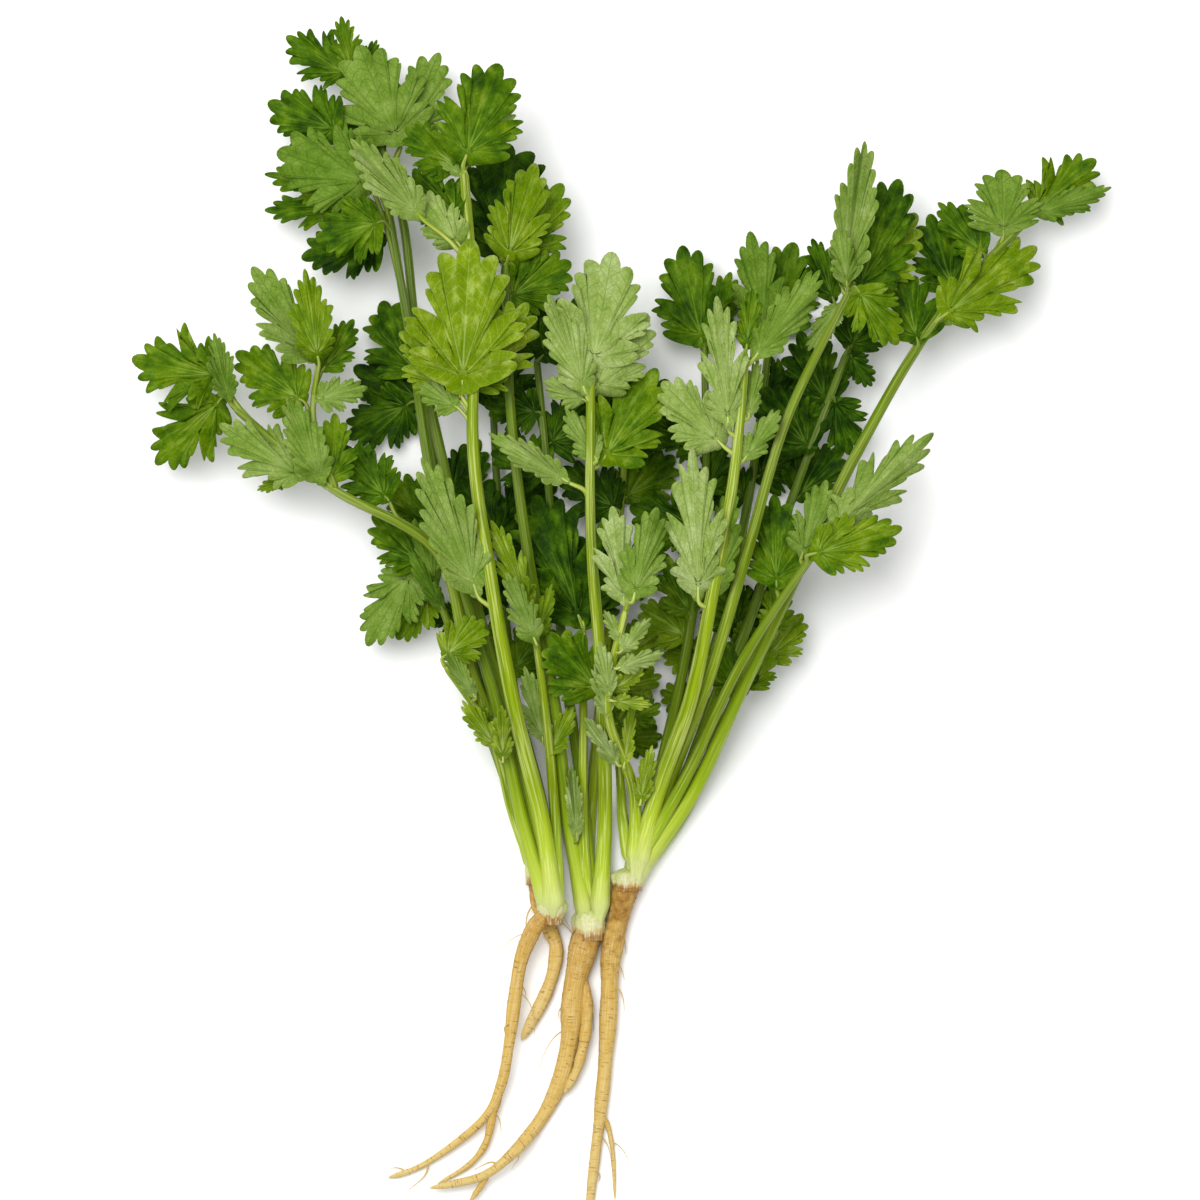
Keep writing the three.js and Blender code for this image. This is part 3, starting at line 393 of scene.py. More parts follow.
def crown_body(shape, number, rise):
    """A crown, t from 0 at its top to 1 where the root begins: a dome out to its widest place, an
    ease in to the root's radius below it, and flutes, the sum of three waves round it. Where it
    bears on the table it is flat."""
    x, y, wide, long, height = shape["crown"]
    x, y = on_table((x, y))
    t = np.linspace(.02, 1, CROWN_RINGS)
    angle = angles(CROWN_SIDES)
    flutes = (1 + .07 * np.cos(5 * angle + number) * np.cos(t * 1.4)[:, None]
              + .03 * np.cos(11 * angle + 2 * number)
              + .012 * np.sin(40 * t[:, None] + 2 * np.sin(3 * angle)))
    neck = min(wide, shape["roots"][0][2][0] * NECK_PLAY)
    radius = np.where(t < WIDEST, wide * np.sqrt(1 - np.clip(1 - t / WIDEST, 0, 1)**2)**1.5,
                      wide + (neck - wide) * ease(t, WIDEST, NECK_AT))[:, None] * flutes
    top = long * rise
    line = np.column_stack([0 * t + x, y + top - (top + long) * t, 0 * t + height])
    rings, grain = ringed(line, radius, angle, t * 2 * long)
    rings[..., 2] = np.maximum(rings[..., 2], 0)
    return shell(rings, (x, y + top, height), (x, y - long, height), grain=grain, down=t[:, None])


for number, (plant, shape) in enumerate(PLANTS.items()):
    body = crown_body(shape, number, CROWN_TOP[plant])
    piece(f"{plant}_sheath", [(crown_flesh, [body])], "crown", f"{plant}_crown")

# Leafy stems: a smooth ribbed stalk that rises from its crown over the stems below it, forks into
# thin leaflet stalks, and carries lobed and toothed leaflets. Soft green leaf, dark and satin
# above, pale and matt beneath. Everything on one stem grows as one piece.
# A stem's row is plant, layer, radius at the crown, tone, stem lines and leaflets. A leaflet's row
# is base x and y, tip x and y, width over length, shape, how it lies, height over the stem, tone.
# A tone is the leaf's own lightness with painted shade in it: low tones darken the stems and
# leaflets that lie in the shade deep in the pile.
STEMS = {
    "great_leaf_stem": ("middle_left", 7, 2.3, .6, [
        [(553, 903), (540, 815), (514, 705), (495, 600), (480, 500), (474, 440), (481, 385),
         (471, 270), (464, 168)]], [
        (463, 397, 470, 243, .8, "fan", "open", 5, .68),
        (455, 396, 411, 320, .85, "fan", "open", 3, .64),
        (470, 394, 530, 303, .72, "deep", "open", 3, .66),
        (460, 410, 419, 386, .8, "small", "back", -1, .55),
        (464, 168, 499, 65, .85, "fan", "open", 1, .36),
        (462, 172, 404, 128, .8, "fan", "open", -1, .34),
        (467, 168, 516, 98, .42, "long", "ridge", 3, .72),
        (462, 220, 402, 178, 1, "small", "open", -3, .3),
        (463, 178, 440, 164, .5, "small", "back", 1, .6),
        (462, 250, 418, 194, .66, "fan", "back", 1, .72),
        (426, 224, 352, 143, .42, "long", "trough", 2, .74),
        (480, 598, 425, 460, .4, "long", "trough", 1, .66)]),
    "centre_stem": ("middle", 7, 2.1, .6, [
        [(600, 908), (605, 805), (602, 700), (598, 600), (589, 515), (583, 470), (584, 430),
         (588, 395), (591, 374)]], [
        (591, 374, 613, 255, .84, "fan", "back", 1, .8),
        (587, 398, 549, 296, .42, "long", "back", 3, .78),
        (586, 402, 544, 382, .8, "small", "back", 0, .72),
        (590, 396, 650, 316, .66, "fan", "back", 2, .74),
        (570, 484, 489, 434, .32, "long", "trough", 0, .72),
        (600, 466, 656, 372, .78, "fan", "open", -3, .42),
        (597, 462, 566, 410, .6, "small", "back", -2, .66)]),
    "right_stem": ("right", 7, 2.3, .7, [
        [(640, 862), (667, 780), (690, 700), (706, 620), (722, 540), (735, 460), (741, 400),
         (744, 352)]], [
        (698, 602, 692, 452, .46, "deep", "back", 4, .84),
        (712, 600, 730, 488, .36, "long", "back", 2, .44),
        (723, 448, 660, 382, .74, "fan", "back", 1, .76),
        (728, 432, 716, 298, .4, "deep", "back", 2, .78),
        (742, 462, 779, 410, .5, "small", "back", 0, .6),
        (745, 352, 752, 290, .5, "small", "open", 0, .35),
        (750, 364, 820, 272, .36, "long", "back", 2, .5),
        (747, 420, 757, 360, .4, "small", "back", -1, .58)]),
    "upper_right_stem": ("right", 6, 2, .42, [
        [(638, 864), (676, 765), (716, 655), (750, 540), (778, 445), (800, 382), (826, 322),
         (852, 286)]], [
        (842, 290, 866, 139, .3, "long", "trough", 1, .66),
        (854, 300, 902, 178, .62, "fan", "open", -3, .26),
        (852, 286, 918, 212, .85, "fan", "open", 2, .6),
        (854, 288, 898, 346, .8, "fan", "open", 0, .46),
        (846, 288, 838, 228, .55, "small", "back", 3, .58),
        (840, 304, 807, 352, .45, "long", "back", 1, .64),
        (834, 304, 812, 238, .6, "small", "open", -2, .2)]),
    "far_right_stem": ("right", 5, 2.1, .36, [
        [(643, 866), (700, 765), (762, 650), (810, 545), (850, 465), (890, 395), (918, 348),
         (952, 298), (985, 255), (1012, 230), (1032, 214)]], [
        (938, 320, 1040, 243, .66, "deep", "open", 1, .58),
        (936, 322, 984, 298, .48, "small", "back", 3, .52),
        (918, 345, 902, 270, .9, "fan", "open", -2, .26),
        (1004, 236, 1003, 168, 1.2, "fan", "back", 3, .5),
        (1034, 212, 1098, 156, .85, "deep", "open", -1, .44),
        (1034, 214, 1112, 187, .36, "long", "back", 1, .42),
        (986, 256, 940, 200, .7, "small", "open", -2, .3),
        (956, 294, 930, 212, .8, "fan", "open", -2, .2)]),
    "low_right_stem": ("right", 6, 1.8, .38, [
        [(636, 868), (690, 775), (730, 690), (758, 625), (785, 572), (828, 532)]], [
        (828, 532, 930, 434, .42, "deep", "ridge", 3, .68),
        (806, 556, 902, 528, .62, "fan", "open", 0, .52),
        (800, 560, 826, 480, .55, "fan", "back", 2, .54),
        (776, 590, 774, 494, .72, "fan", "open", -3, .3)]),
    "curly_right_stem": ("right", 3, 1.7, .4, [
        [(644, 868), (697, 785), (725, 720), (760, 668), (778, 630)]], [
        (750, 690, 772, 646, .8, "fan", "open", 0, .6),
        (765, 662, 804, 614, .85, "fan", "open", 1, .64),
        (777, 634, 778, 578, .8, "small", "open", 0, .5),
        (744, 698, 716, 640, .85, "fan", "open", -1, .26),
        (762, 664, 738, 622, .8, "small", "open", -1, .26)]),
    "young_shoot": ("right", 8, 1.7, .78, [
        [(634, 862), (641, 812), (622, 770), (608, 730), (609, 695), (621, 650), (626, 606)]], [
        (625, 606, 612, 508, .56, "deep", "back", 3, .86),
        (632, 602, 656, 508, .5, "fan", "back", 1, .55),
        (619, 766, 584, 716, .4, "small", "back", 1, .85),
        (624, 768, 632, 704, .3, "small", "open", 0, .8),
        (609, 716, 594, 664, .45, "small", "back", 1, .78),
        (610, 696, 600, 640, .45, "small", "back", 2, .78),
        (611, 690, 644, 668, .6, "small", "open", 0, .78),
        (616, 668, 664, 652, .5, "small", "back", 1, .78),
        (620, 652, 650, 618, .5, "small", "back", 1, .78),
        (622, 642, 604, 610, .5, "small", "back", 2, .78),
        (612, 700, 652, 704, .5, "small", "open", -1, .78),
        (640, 806, 652, 746, .4, "small", "open", -1, .78)]),
    "thin_left_stem": ("middle_left", 6, 1.7, .62, [
        [(556, 900), (551, 820), (548, 755), (545, 700), (537, 640), (532, 606)]], [
        (532, 610, 492, 520, .36, "deep", "open", 3, .6),
        (537, 644, 507, 572, .42, "fan", "trough", 1, .62),
        (544, 744, 525, 666, .36, "fan", "trough", 0, .74),
        (537, 640, 552, 584, .4, "small", "open", -1, .5),
        (548, 756, 574, 706, .55, "small", "open", -1, .6)]),
    "far_left_stem": ("left", 5, 1.9, .4, [
        [(534, 868), (514, 775), (484, 690), (458, 610), (436, 545), (412, 508), (362, 495),
         (305, 480), (262, 465), (240, 446), (231, 405)],
        [(335, 488), (318, 440), (313, 405), (320, 364)]], [
        (222, 376, 132, 360, 1, "deep", "open", 1, .42),
        (224, 396, 152, 464, .82, "deep", "open", -2, .4),
        (230, 402, 214, 332, .4, "long", "trough", 3, .42),
        (306, 404, 236, 350, .8, "fan", "open", 1, .42),
        (306, 479, 219, 424, .62, "deep", "back", 2, .66),
        (324, 486, 289, 398, .48, "long", "back", 5, .56),
        (332, 486, 336, 414, .7, "fan", "open", 2, .44),
        (318, 362, 252, 268, .56, "fan", "trough", 1, .62),
        (320, 366, 306, 272, .48, "long", "open", 4, .56),
        (322, 372, 354, 320, .7, "fan", "open", -2, .36),
        (316, 400, 367, 388, .72, "fan", "back", 1, .64),
        (290, 478, 256, 490, .5, "small", "open", -3, .55),
        (390, 502, 342, 444, .85, "fan", "open", -3, .26)]),
    "top_left_stem": ("middle_left", 4, 1.9, .2, [
        [(548, 898), (522, 785), (494, 680), (470, 580), (447, 480), (427, 400), (414, 320),
         (406, 250), (396, 190), (372, 112), (350, 70)]], [
        (349, 74, 284, 34, .8, "deep", "open", -1, .3),
        (350, 70, 340, 14, .62, "deep", "open", 1, .3),
        (354, 80, 376, 36, .5, "small", "open", -2, .28),
        (400, 146, 356, 44, .92, "fan", "back", 5, .5),
        (400, 144, 438, 50, .68, "fan", "back", 2, .48),
        (386, 156, 320, 118, .7, "fan", "open", 1, .36)]),
    "second_top_left_stem": ("middle_left", 5, 1.9, .18, [
        [(544, 900), (515, 792), (486, 690), (460, 590), (437, 500), (420, 420), (410, 330),
         (402, 250), (388, 206)]], [
        (342, 132, 268, 102, .95, "fan", "open", -3, .28),
        (376, 186, 276, 150, .92, "fan", "back", 2, .38),
        (356, 192, 264, 172, .5, "deep", "open", -1, .42),
        (352, 206, 262, 208, .5, "deep", "open", 1, .34),
        (384, 222, 316, 240, 1, "fan", "open", 2, .34),
        (387, 238, 300, 256, .78, "fan", "open", -2, .14)]),
    "top_centre_stem": ("middle", 5, 2, .25, [
        [(584, 910), (572, 795), (550, 680), (532, 580), (518, 480), (508, 380), (503, 300),
         (506, 264)]], [
        (506, 266, 536, 163, .62, "fan", "open", 3, .6),
        (508, 264, 562, 184, .8, "fan", "open", -1, .46),
        (502, 264, 504, 138, .95, "fan", "open", -3, .16),
        (505, 300, 572, 262, .9, "fan", "open", -2, .34),
        (577, 842, 571, 764, .24, "long", "trough", 2, .8)]),
    "heart_stem": ("middle", 3, 1.7, .16, [
        [(592, 910), (582, 795), (566, 680), (556, 580), (548, 480), (540, 400), (536, 352)]], [
        (536, 356, 516, 272, .95, "fan", "open", 0, .2),
        (538, 360, 590, 300, .9, "small", "open", -1, .16),
        (541, 412, 484, 402, .95, "fan", "open", 0, .16),
        (545, 446, 606, 402, .9, "fan", "open", -1, .16),
        (548, 478, 492, 438, .95, "fan", "open", -1, .16),
        (556, 566, 504, 540, .9, "small", "open", 0, .16)]),
    "left_back_stem": ("left", 1, 1.7, .18, [
        [(532, 868), (507, 762), (472, 660), (448, 560), (436, 480), (424, 400)]], [
        (424, 400, 352, 366, 1.05, "fan", "open", -3, .18),
        (412, 400, 344, 436, .9, "fan", "open", -5, .18),
        (416, 376, 378, 298, .95, "fan", "open", 2, .28),
        (442, 532, 388, 478, .95, "fan", "open", -3, .38),
        (443, 520, 478, 438, .75, "fan", "open", -2, .18)]),
    "low_left_stem": ("left", 3, 1.7, .3, [
        [(532, 869), (511, 785), (476, 700), (454, 640), (434, 592), (424, 560)]], [
        (424, 566, 372, 516, .85, "fan", "open", -1, .38),
        (414, 568, 364, 646, .68, "fan", "back", 3, .5),
        (430, 590, 394, 640, .85, "fan", "open", 0, .5),
        (436, 588, 414, 518, .36, "small", "back", 4, .4),
        (444, 612, 408, 552, .3, "small", "back", 3, .24)]),
    "side_fan_stem": ("left", 6, 1.6, .74, [
        [(533, 866), (512, 795), (490, 728), (464, 692), (443, 662)]], [
        (443, 658, 486, 620, .9, "fan", "open", 1, .6),
        (476, 698, 446, 650, .36, "long", "back", 3, .6),
        (498, 748, 462, 700, .5, "small", "open", 2, .74),
        (489, 728, 470, 690, .5, "small", "open", 4, .74),
        (503, 762, 502, 704, .42, "small", "open", 2, .74)]),
    "inner_fan_stem": ("right", 5, 1.5, .72, [
        [(630, 864), (622, 812), (619, 765), (611, 722), (602, 694)]], [
        (602, 694, 548, 634, 1, "fan", "open", 3, .4),
        (612, 726, 662, 704, .85, "small", "open", -3, .4)]),
    "dark_centre_stem": ("middle", 4, 1.6, .85, [
        [(588, 908), (582, 800), (584, 700), (583, 622)]], [
        (583, 628, 534, 494, .8, "deep", "open", 1, .2),
        (584, 630, 606, 516, .62, "fan", "open", -1, .2)]),
    "under_centre_stem": ("middle", 1, 1.6, .6, [
        [(586, 912), (590, 795), (602, 685), (614, 585), (622, 500), (626, 442)]], [
        (626, 446, 598, 376, .95, "fan", "open", 0, .12),
        (626, 448, 668, 378, .9, "fan", "open", -1, .12),
        (622, 500, 676, 454, .95, "fan", "open", 0, .36),
        (620, 511, 562, 466, .9, "fan", "open", 0, .12),
        (614, 588, 666, 540, .9, "fan", "open", -3, .36),
        (600, 738, 664, 738, 1, "small", "open", -1, .45),
        (606, 664, 662, 630, 1, "small", "open", -1, .56),
        (605, 692, 662, 676, 1, "small", "open", -1, .56)]),
    "right_back_stem": ("right", 1, 1.8, .15, [
        [(637, 870), (680, 768), (714, 655), (737, 560), (753, 480), (765, 400), (772, 330)]], [
        (772, 334, 796, 238, .85, "fan", "open", -2, .3),
        (768, 340, 752, 230, .55, "fan", "back", 6, .36),
        (765, 408, 830, 358, .9, "fan", "open", -3, .15),
        (755, 478, 818, 440, .9, "fan", "open", -1, .15),
        (752, 496, 694, 470, .95, "fan", "open", 0, .15),
        (712, 660, 662, 656, 1, "small", "open", 0, .52)]),
    "dark_right_stem": ("right", 2, 1.7, .2, [
        [(632, 872), (662, 768), (688, 645), (702, 540), (708, 450), (707, 370), (705, 342)]], [
        (704, 346, 681, 243, .8, "fan", "open", 2, .3),
        (706, 352, 732, 268, .6, "small", "open", 0, .38),
        (708, 446, 650, 424, .9, "small", "open", 0, .2),
        (703, 530, 630, 506, .9, "fan", "open", 1, .2),
        (690, 640, 640, 604, 1, "small", "open", 0, .56),
        (692, 618, 668, 556, .9, "small", "open", 0, .4),
        (706, 496, 724, 440, .8, "small", "open", 0, .2)]),
    "shaded_right_stem": ("right", 3, 1.8, .15, [
        [(646, 864), (704, 738), (752, 615), (792, 500), (820, 430), (842, 378), (850, 346)]], [
        (850, 352, 874, 386, .8, "small", "open", -2, .15),
        (834, 396, 852, 454, .95, "fan", "open", -2, .15),
        (850, 350, 882, 286, .9, "fan", "open", -1, .22),
        (830, 408, 800, 330, .95, "small", "open", -3, .15),
        (814, 452, 762, 386, .85, "fan", "open", -2, .15),
        (796, 500, 844, 446, .95, "fan", "open", -3, .15)]),
    "left_under_stem": ("middle_left", 1, 1.7, .12, [
        [(549, 904), (530, 795), (512, 685), (502, 580), (496, 480), (492, 405)]], [
        (492, 410, 512, 326, .9, "fan", "open", 0, .12),
        (497, 524, 557, 484, .85, "fan", "open", 0, .12),
        (499, 548, 456, 476, 1, "small", "open", 0, .12),
        (504, 608, 456, 558, .95, "fan", "open", -1, .12),
        (509, 676, 550, 620, .95, "small", "open", 0, .38)]),
    "low_under_stem": ("right", 2, 1.6, .2, [
        [(641, 871), (687, 768), (720, 684), (742, 622)]], [
        (742, 628, 708, 574, .95, "fan", "open", 1, .2),
        (736, 646, 776, 584, .9, "fan", "open", -1, .2),
        (710, 708, 660, 692, 1, "small", "open", -2, .48)]),
    "left_low_stem": ("left", 0, 1.5, .2, [
        [(535, 871), (518, 785), (498, 712), (474, 645), (458, 592)]], [
        (464, 620, 424, 616, .85, "fan", "open", -3, .2),
        (474, 652, 506, 622, .8, "small", "open", -1, .4)]),
}
# Layers of the pile: millimetres a layer, height of the lowest stem, layers that lie on the table.
LAYER, LOWEST_STEM, ON_TABLE = 6.2, 2.6, .6
# The pile rises over RISE_RUN from the crowns' line, and thins from NEAR to FAR off its heart.
CROWN_LINE, RISE_RUN = 895, 270
HEART, NEAR, FAR, THINNING = (590, 440), 190, 520, .4
BLADE, GAP, SOFTEN = .8, .4, 2  # thickness of a CAD blade, gap between stems, ease off the table
SEAT_STEP, MIDDLE_LAYER, CLIMB = .75, 3.5, 42  # how stems are seated in their crown and leave it
TAPER, BRANCH = .5, .6  # a stem's radius at its end and a branch's, over the radius at the crown
STEPS, ROUNDS, GIVE, HOME_RIM, REACHING = 40, 60, .3, .6, 16


def pile_height(xy, layer):
    """Height of a layer over a point: it rises by layers from the crowns into the leaves and sinks
    again towards the outside."""
    drawn = xy / (MM, -MM) + MIDDLE
    rise = ease(CROWN_LINE - drawn[..., 1], 0, RISE_RUN)
    out = ease(np.hypot(drawn[..., 0] - HEART[0], drawn[..., 1] - HEART[1]), NEAR, FAR)
    return LOWEST_STEM + max(0, layer - ON_TABLE) * LAYER * rise * (1 - THINNING * out)


def above_table(z):
    """Keeps a height off the table: below SOFTEN it approaches the table as an exponential."""
    over = z - BLADE / 2
    return BLADE / 2 + np.where(over > SOFTEN, over, SOFTEN * np.exp((over - SOFTEN) / SOFTEN))


def stem_line(line, layer, crown):
    """A stem line in space: from its seat in the crown it rises to its layer over CLIMB."""
    flat = spaced(on_table(line), STEPS)
    length = np.linalg.norm(np.diff(flat, axis=0), axis=1).sum()
    height = pile_height(flat, layer)
    if crown:
        seat = crown[4] + (layer - MIDDLE_LAYER) * SEAT_STEP
        height = seat + (height - seat) * ease(np.linspace(0, length, STEPS + 1), 0, CLIMB)
    return np.column_stack([flat, height])


def settle(lines, radii, homes, home_radii):
    """Stems rest against each other: where two lines are closer than their radii allow, both give
    way, and each round smooths what they gave way by along the stem. The pairs of points and
    stretches that ever come near are found once."""
    lines = np.array(lines)
    count = len(lines)
    starts, ends = lines[:, :-1], lines[:, 1:]
    a, i = np.divmod(np.arange(count * (STEPS + 1)), STEPS + 1)
    apart = np.abs(lines[a, i][:, None, None] - (starts + ends)[None] / 2)
    near = apart[..., :2].max(-1) < REACHING
    near &= a[:, None, None] != np.arange(count)[None, :, None]
    pair, b, j = np.nonzero(near)
    a, i = a[pair], i[pair]
    step = np.arange(STEPS + 1) / STEPS
    radius = np.array(radii)[:, None] * (1 + (TAPER - 1) * step)
    reach = radius[a, i] + radius[b, j] + GAP
    for _ in range(ROUNDS):
        point, start, end = lines[a, i], lines[b, j], lines[b, j + 1]
        along = end - start
        t = np.clip(((point - start) * along).sum(1) / (along**2).sum(1), 0, 1)
        close = start + along * t[:, None]
        away = point - close
        gap = np.linalg.norm(away, axis=1)
        free = (np.linalg.norm(point - homes[a], axis=1) >= home_radii[a]) & (
            np.linalg.norm(close - homes[b], axis=1) >= home_radii[b])
        push = away / np.maximum(gap, 1e-6)[:, None] * (
            np.clip(reach - gap, 0, None) * free * GIVE)[:, None]
        moved = np.zeros_like(lines)
        np.add.at(moved, (a, i), push)
        np.add.at(moved, (b, j), push * (t - 1)[:, None])
        np.add.at(moved, (b, j + 1), -push * t[:, None])
        for home, size in {tuple(h): r for h, r in zip(homes, home_radii)}.items():
            away = lines - home
            gap = np.linalg.norm(away, axis=2)
            other = (np.linalg.norm(homes - home, axis=1) > 1e-6)[:, None]
            free = np.linalg.norm(lines - homes[:, None], axis=2) >= home_radii[:, None]
            short = np.clip(size - HOME_RIM + radius + GAP - gap, 0, None) * other * free
            moved += away / gap[..., None] * short[..., None] * GIVE
        for _ in range(2):
            before = np.concatenate([moved[:, :1], moved[:, :-1]], 1)
            after = np.concatenate([moved[:, 1:], moved[:, -1:]], 1)
            moved = moved / 2 + before / 4 + after / 4
        size = np.linalg.norm(moved, axis=2, keepdims=True)
        moved *= np.minimum(1, 1 / np.maximum(size, 1e-9))
        lines = lines + moved * ease(np.arange(STEPS + 1), 0, 2)[:, None]
        lines[..., 2] = np.maximum(lines[..., 2], radius)
    return lines


crowns = {plant: shape["crown"] for plant, shape in PLANTS.items()}
homes = np.array([[*on_table(crowns[row[0]][:2]), crowns[row[0]][4]] for row in STEMS.values()])
home_radii = np.array([crowns[row[0]][2] + HOME_RIM for row in STEMS.values()])
settled = settle([stem_line(row[4][0], row[1], crowns[row[0]]) for row in STEMS.values()],
                 [row[2] for row in STEMS.values()], homes, home_radii)

# Half outline of a leaflet: where its base edge ends, then per lobe the angle of its main vein
# and its teeth from the base on, each the tooth's tip and the notch after it. Base at 0,0, tip at
# 1,0. Veins and faces run out from the heart on the midrib.
SHAPES = {
    "fan": (.12, (.05, .13), [
        (76, [((.17, .42), (.225, .33)), ((.295, .425), (.3, .22))]),
        (52, [((.385, .455), (.41, .38)), ((.465, .5), (.48, .38)), ((.56, .405), (.46, .15))]),
        (20, [((.64, .325), (.66, .24)), ((.765, .335), (.765, .2)), ((.89, .23), (.87, .1))])]),
    "deep": (.1, (.05, .09), [
        (70, [((.13, .3), (.165, .24)), ((.205, .405), (.24, .27)), ((.31, .3), (.3, .11))]),
        (42, [((.41, .37), (.43, .31)), ((.52, .495), (.53, .34)), ((.605, .395), (.46, .1))]),
        (11, [((.62, .255), (.65, .19)), ((.78, .325), (.78, .18)), ((.905, .21), (.86, .09))])]),
    "long": (.12, (.05, .12), [
        (74, [((.13, .33), (.165, .27)), ((.225, .455), (.27, .33)), ((.345, .41), (.37, .25))]),
        (42, [((.46, .45), (.5, .35)), ((.585, .495), (.6, .34)), ((.69, .38), (.64, .18))]),
        (13, [((.79, .315), (.8, .18)), ((.91, .2), (.89, .08))])]),
    "small": (.12, (.06, .14), [
        (68, [((.19, .37), (.24, .3)), ((.305, .475), (.35, .33)), ((.43, .37), (.42, .16))]),
        (20, [((.57, .36), (.61, .27)), ((.745, .345), (.76, .17)), ((.9, .19), (.88, .08))])]),
}
POSES = {"open": (8, .1, 1), "back": (-7, .06, 0), "trough": (38, .06, 0), "ridge": (-36, .04, 0)}
TILT, TILT_STEP, SIBLING, NECK, DRAPE = 7, 2.4, 1, .25, .7
LIFTS = [0, 1.2, -1.2, 2.4, -2.4, 3.6, -3.6, 5]
BENDS = [0, 1.5, -1.5, 3, -3, 5, -5, 7.5, -7.5]
NOTCH_STRAY, TIP_STRAY, POINTED = .008, .012, .57
POINTS, ROWS = {"small": 6}, {"small": 7}  # along a tooth's edge, and from the heart to the edge
MANY_POINTS, MANY_ROWS = 8, 11  # of the larger leaflets
MIDDLE_THICK, EDGE_THIN = .36, .18  # millimetres at the heart, and how much thinner at the edge
RAYS = 3  # how finely the blade is streaked round its heart
CURL = 1.6  # millimetres that a blade waves and droops, and more on young leaves:
CURLED = {"curly_right_stem": 2.6, "young_shoot": 2, "side_fan_stem": 2.2, "inner_fan_stem": 1.9}


def lay(row, layer, seed, lift, bend):
    """Where a flat leaflet comes to lie: u runs from base to tip and v across. It follows the pile
    under it, folds along its midrib, arches and rolls, and is lifted and bent as in the CAD."""
    bx, by, tx, ty, width, _, pose, up, _ = row
    base, tip = on_table((bx, by)), on_table((tx, ty))
    length = np.linalg.norm(tip - base)
    ahead = (tip - base) / length
    fold, arch, _ = POSES[pose]
    roll = np.radians(TILT * np.sin(TILT_STEP * seed))
    start = pile_height(base, layer)
    level = (seed % 3 - 1) * SIBLING + lift

    def at(u, v, above=0.0):
        y = v * width * length
        xy = base + np.stack([ahead[0] * u * length - ahead[1] * y,
                              ahead[1] * u * length + ahead[0] * y], -1)
        relief = (np.abs(y) * np.tan(np.radians(fold)) + y * np.tan(roll) - arch * length * u * u
                  + bend * u)
        pile = start + (pile_height(xy, layer) - start) * DRAPE
        z = above_table(pile + np.clip(u / NECK, None, 1) * up + level + relief)
        return np.concatenate([xy, (z + above)[..., None]], -1)

    def flat(xy):
        there = (xy - base) / length
        return there @ ahead, (there[..., 1] * ahead[0] - there[..., 0] * ahead[1]) / width

    return at, flat, length


def fitted(row, layer, seed, corners):
    """The lift and bend that the CAD leaflet was given, out of those that it was tried with: the
    pair that puts most corners of the CAD node half a blade above or below the leaflet."""
    best = (0, 0, 0)
    for lift in LIFTS:
        for bend in BENDS:
            at, flat, _ = lay(row, layer, seed, lift, bend)
            u, v = flat(corners[:, :2])
            inside = (u > .14) & (u < 1.06) & (np.abs(v) < .56)
            off = np.abs(at(u[inside], v[inside])[:, 2] - corners[inside, 2])
            best = max(best, ((np.abs(off - BLADE / 2) < .06).sum(), lift, bend))
    return best[1:]


def outline(shape, seed, per):
    """A leaflet's edge, from the middle of its base round the right side to the tip and back, per
    points a tooth: each tooth runs from notch to notch and bulges to its tip as a pointed half
    ellipse. Tips and notches stray a little by seed. Returns the edge, how far across its tooth
    each point is, from -1 to 1, its tooth, its place counted in teeth, and the teeth's widths."""
    _, base_notch, lobes = SHAPES[shape]
    half = np.array([tip for _, teeth in lobes for tip, _ in teeth])
    notches = np.array([base_notch] + [notch for _, teeth in lobes for _, notch in teeth])
    mirror = np.array([1, -1])
    tips = np.vstack([(0, 0), half * mirror, (1, 0), half[::-1]])
    before = np.vstack([notches[:1], notches * mirror, notches[:0:-1]])
    draw = np.random.default_rng(seed)
    stray = np.clip(draw.normal(0, 1, (2, len(tips), 2)), -2, 2)
    before = before + stray[0] * NOTCH_STRAY
    tips[1:] += stray[1, 1:] * TIP_STRAY
    after = np.roll(before, -1, axis=0)
    place = .5 + np.arange(len(tips) * per) / per
    tooth = place.astype(int) % len(tips)
    x = np.sin(((place % 1) - .5) * np.pi)
    b, a, t = before[tooth], after[tooth], tips[tooth]
    rise = ((1 - x**2).clip(0)**POINTED)[:, None]
    edge = b + (a - b) * (x[:, None] + 1) / 2 + (t - (a + b) / 2) * rise
    return edge, x, tooth, place, np.linalg.norm(after - before, axis=1)


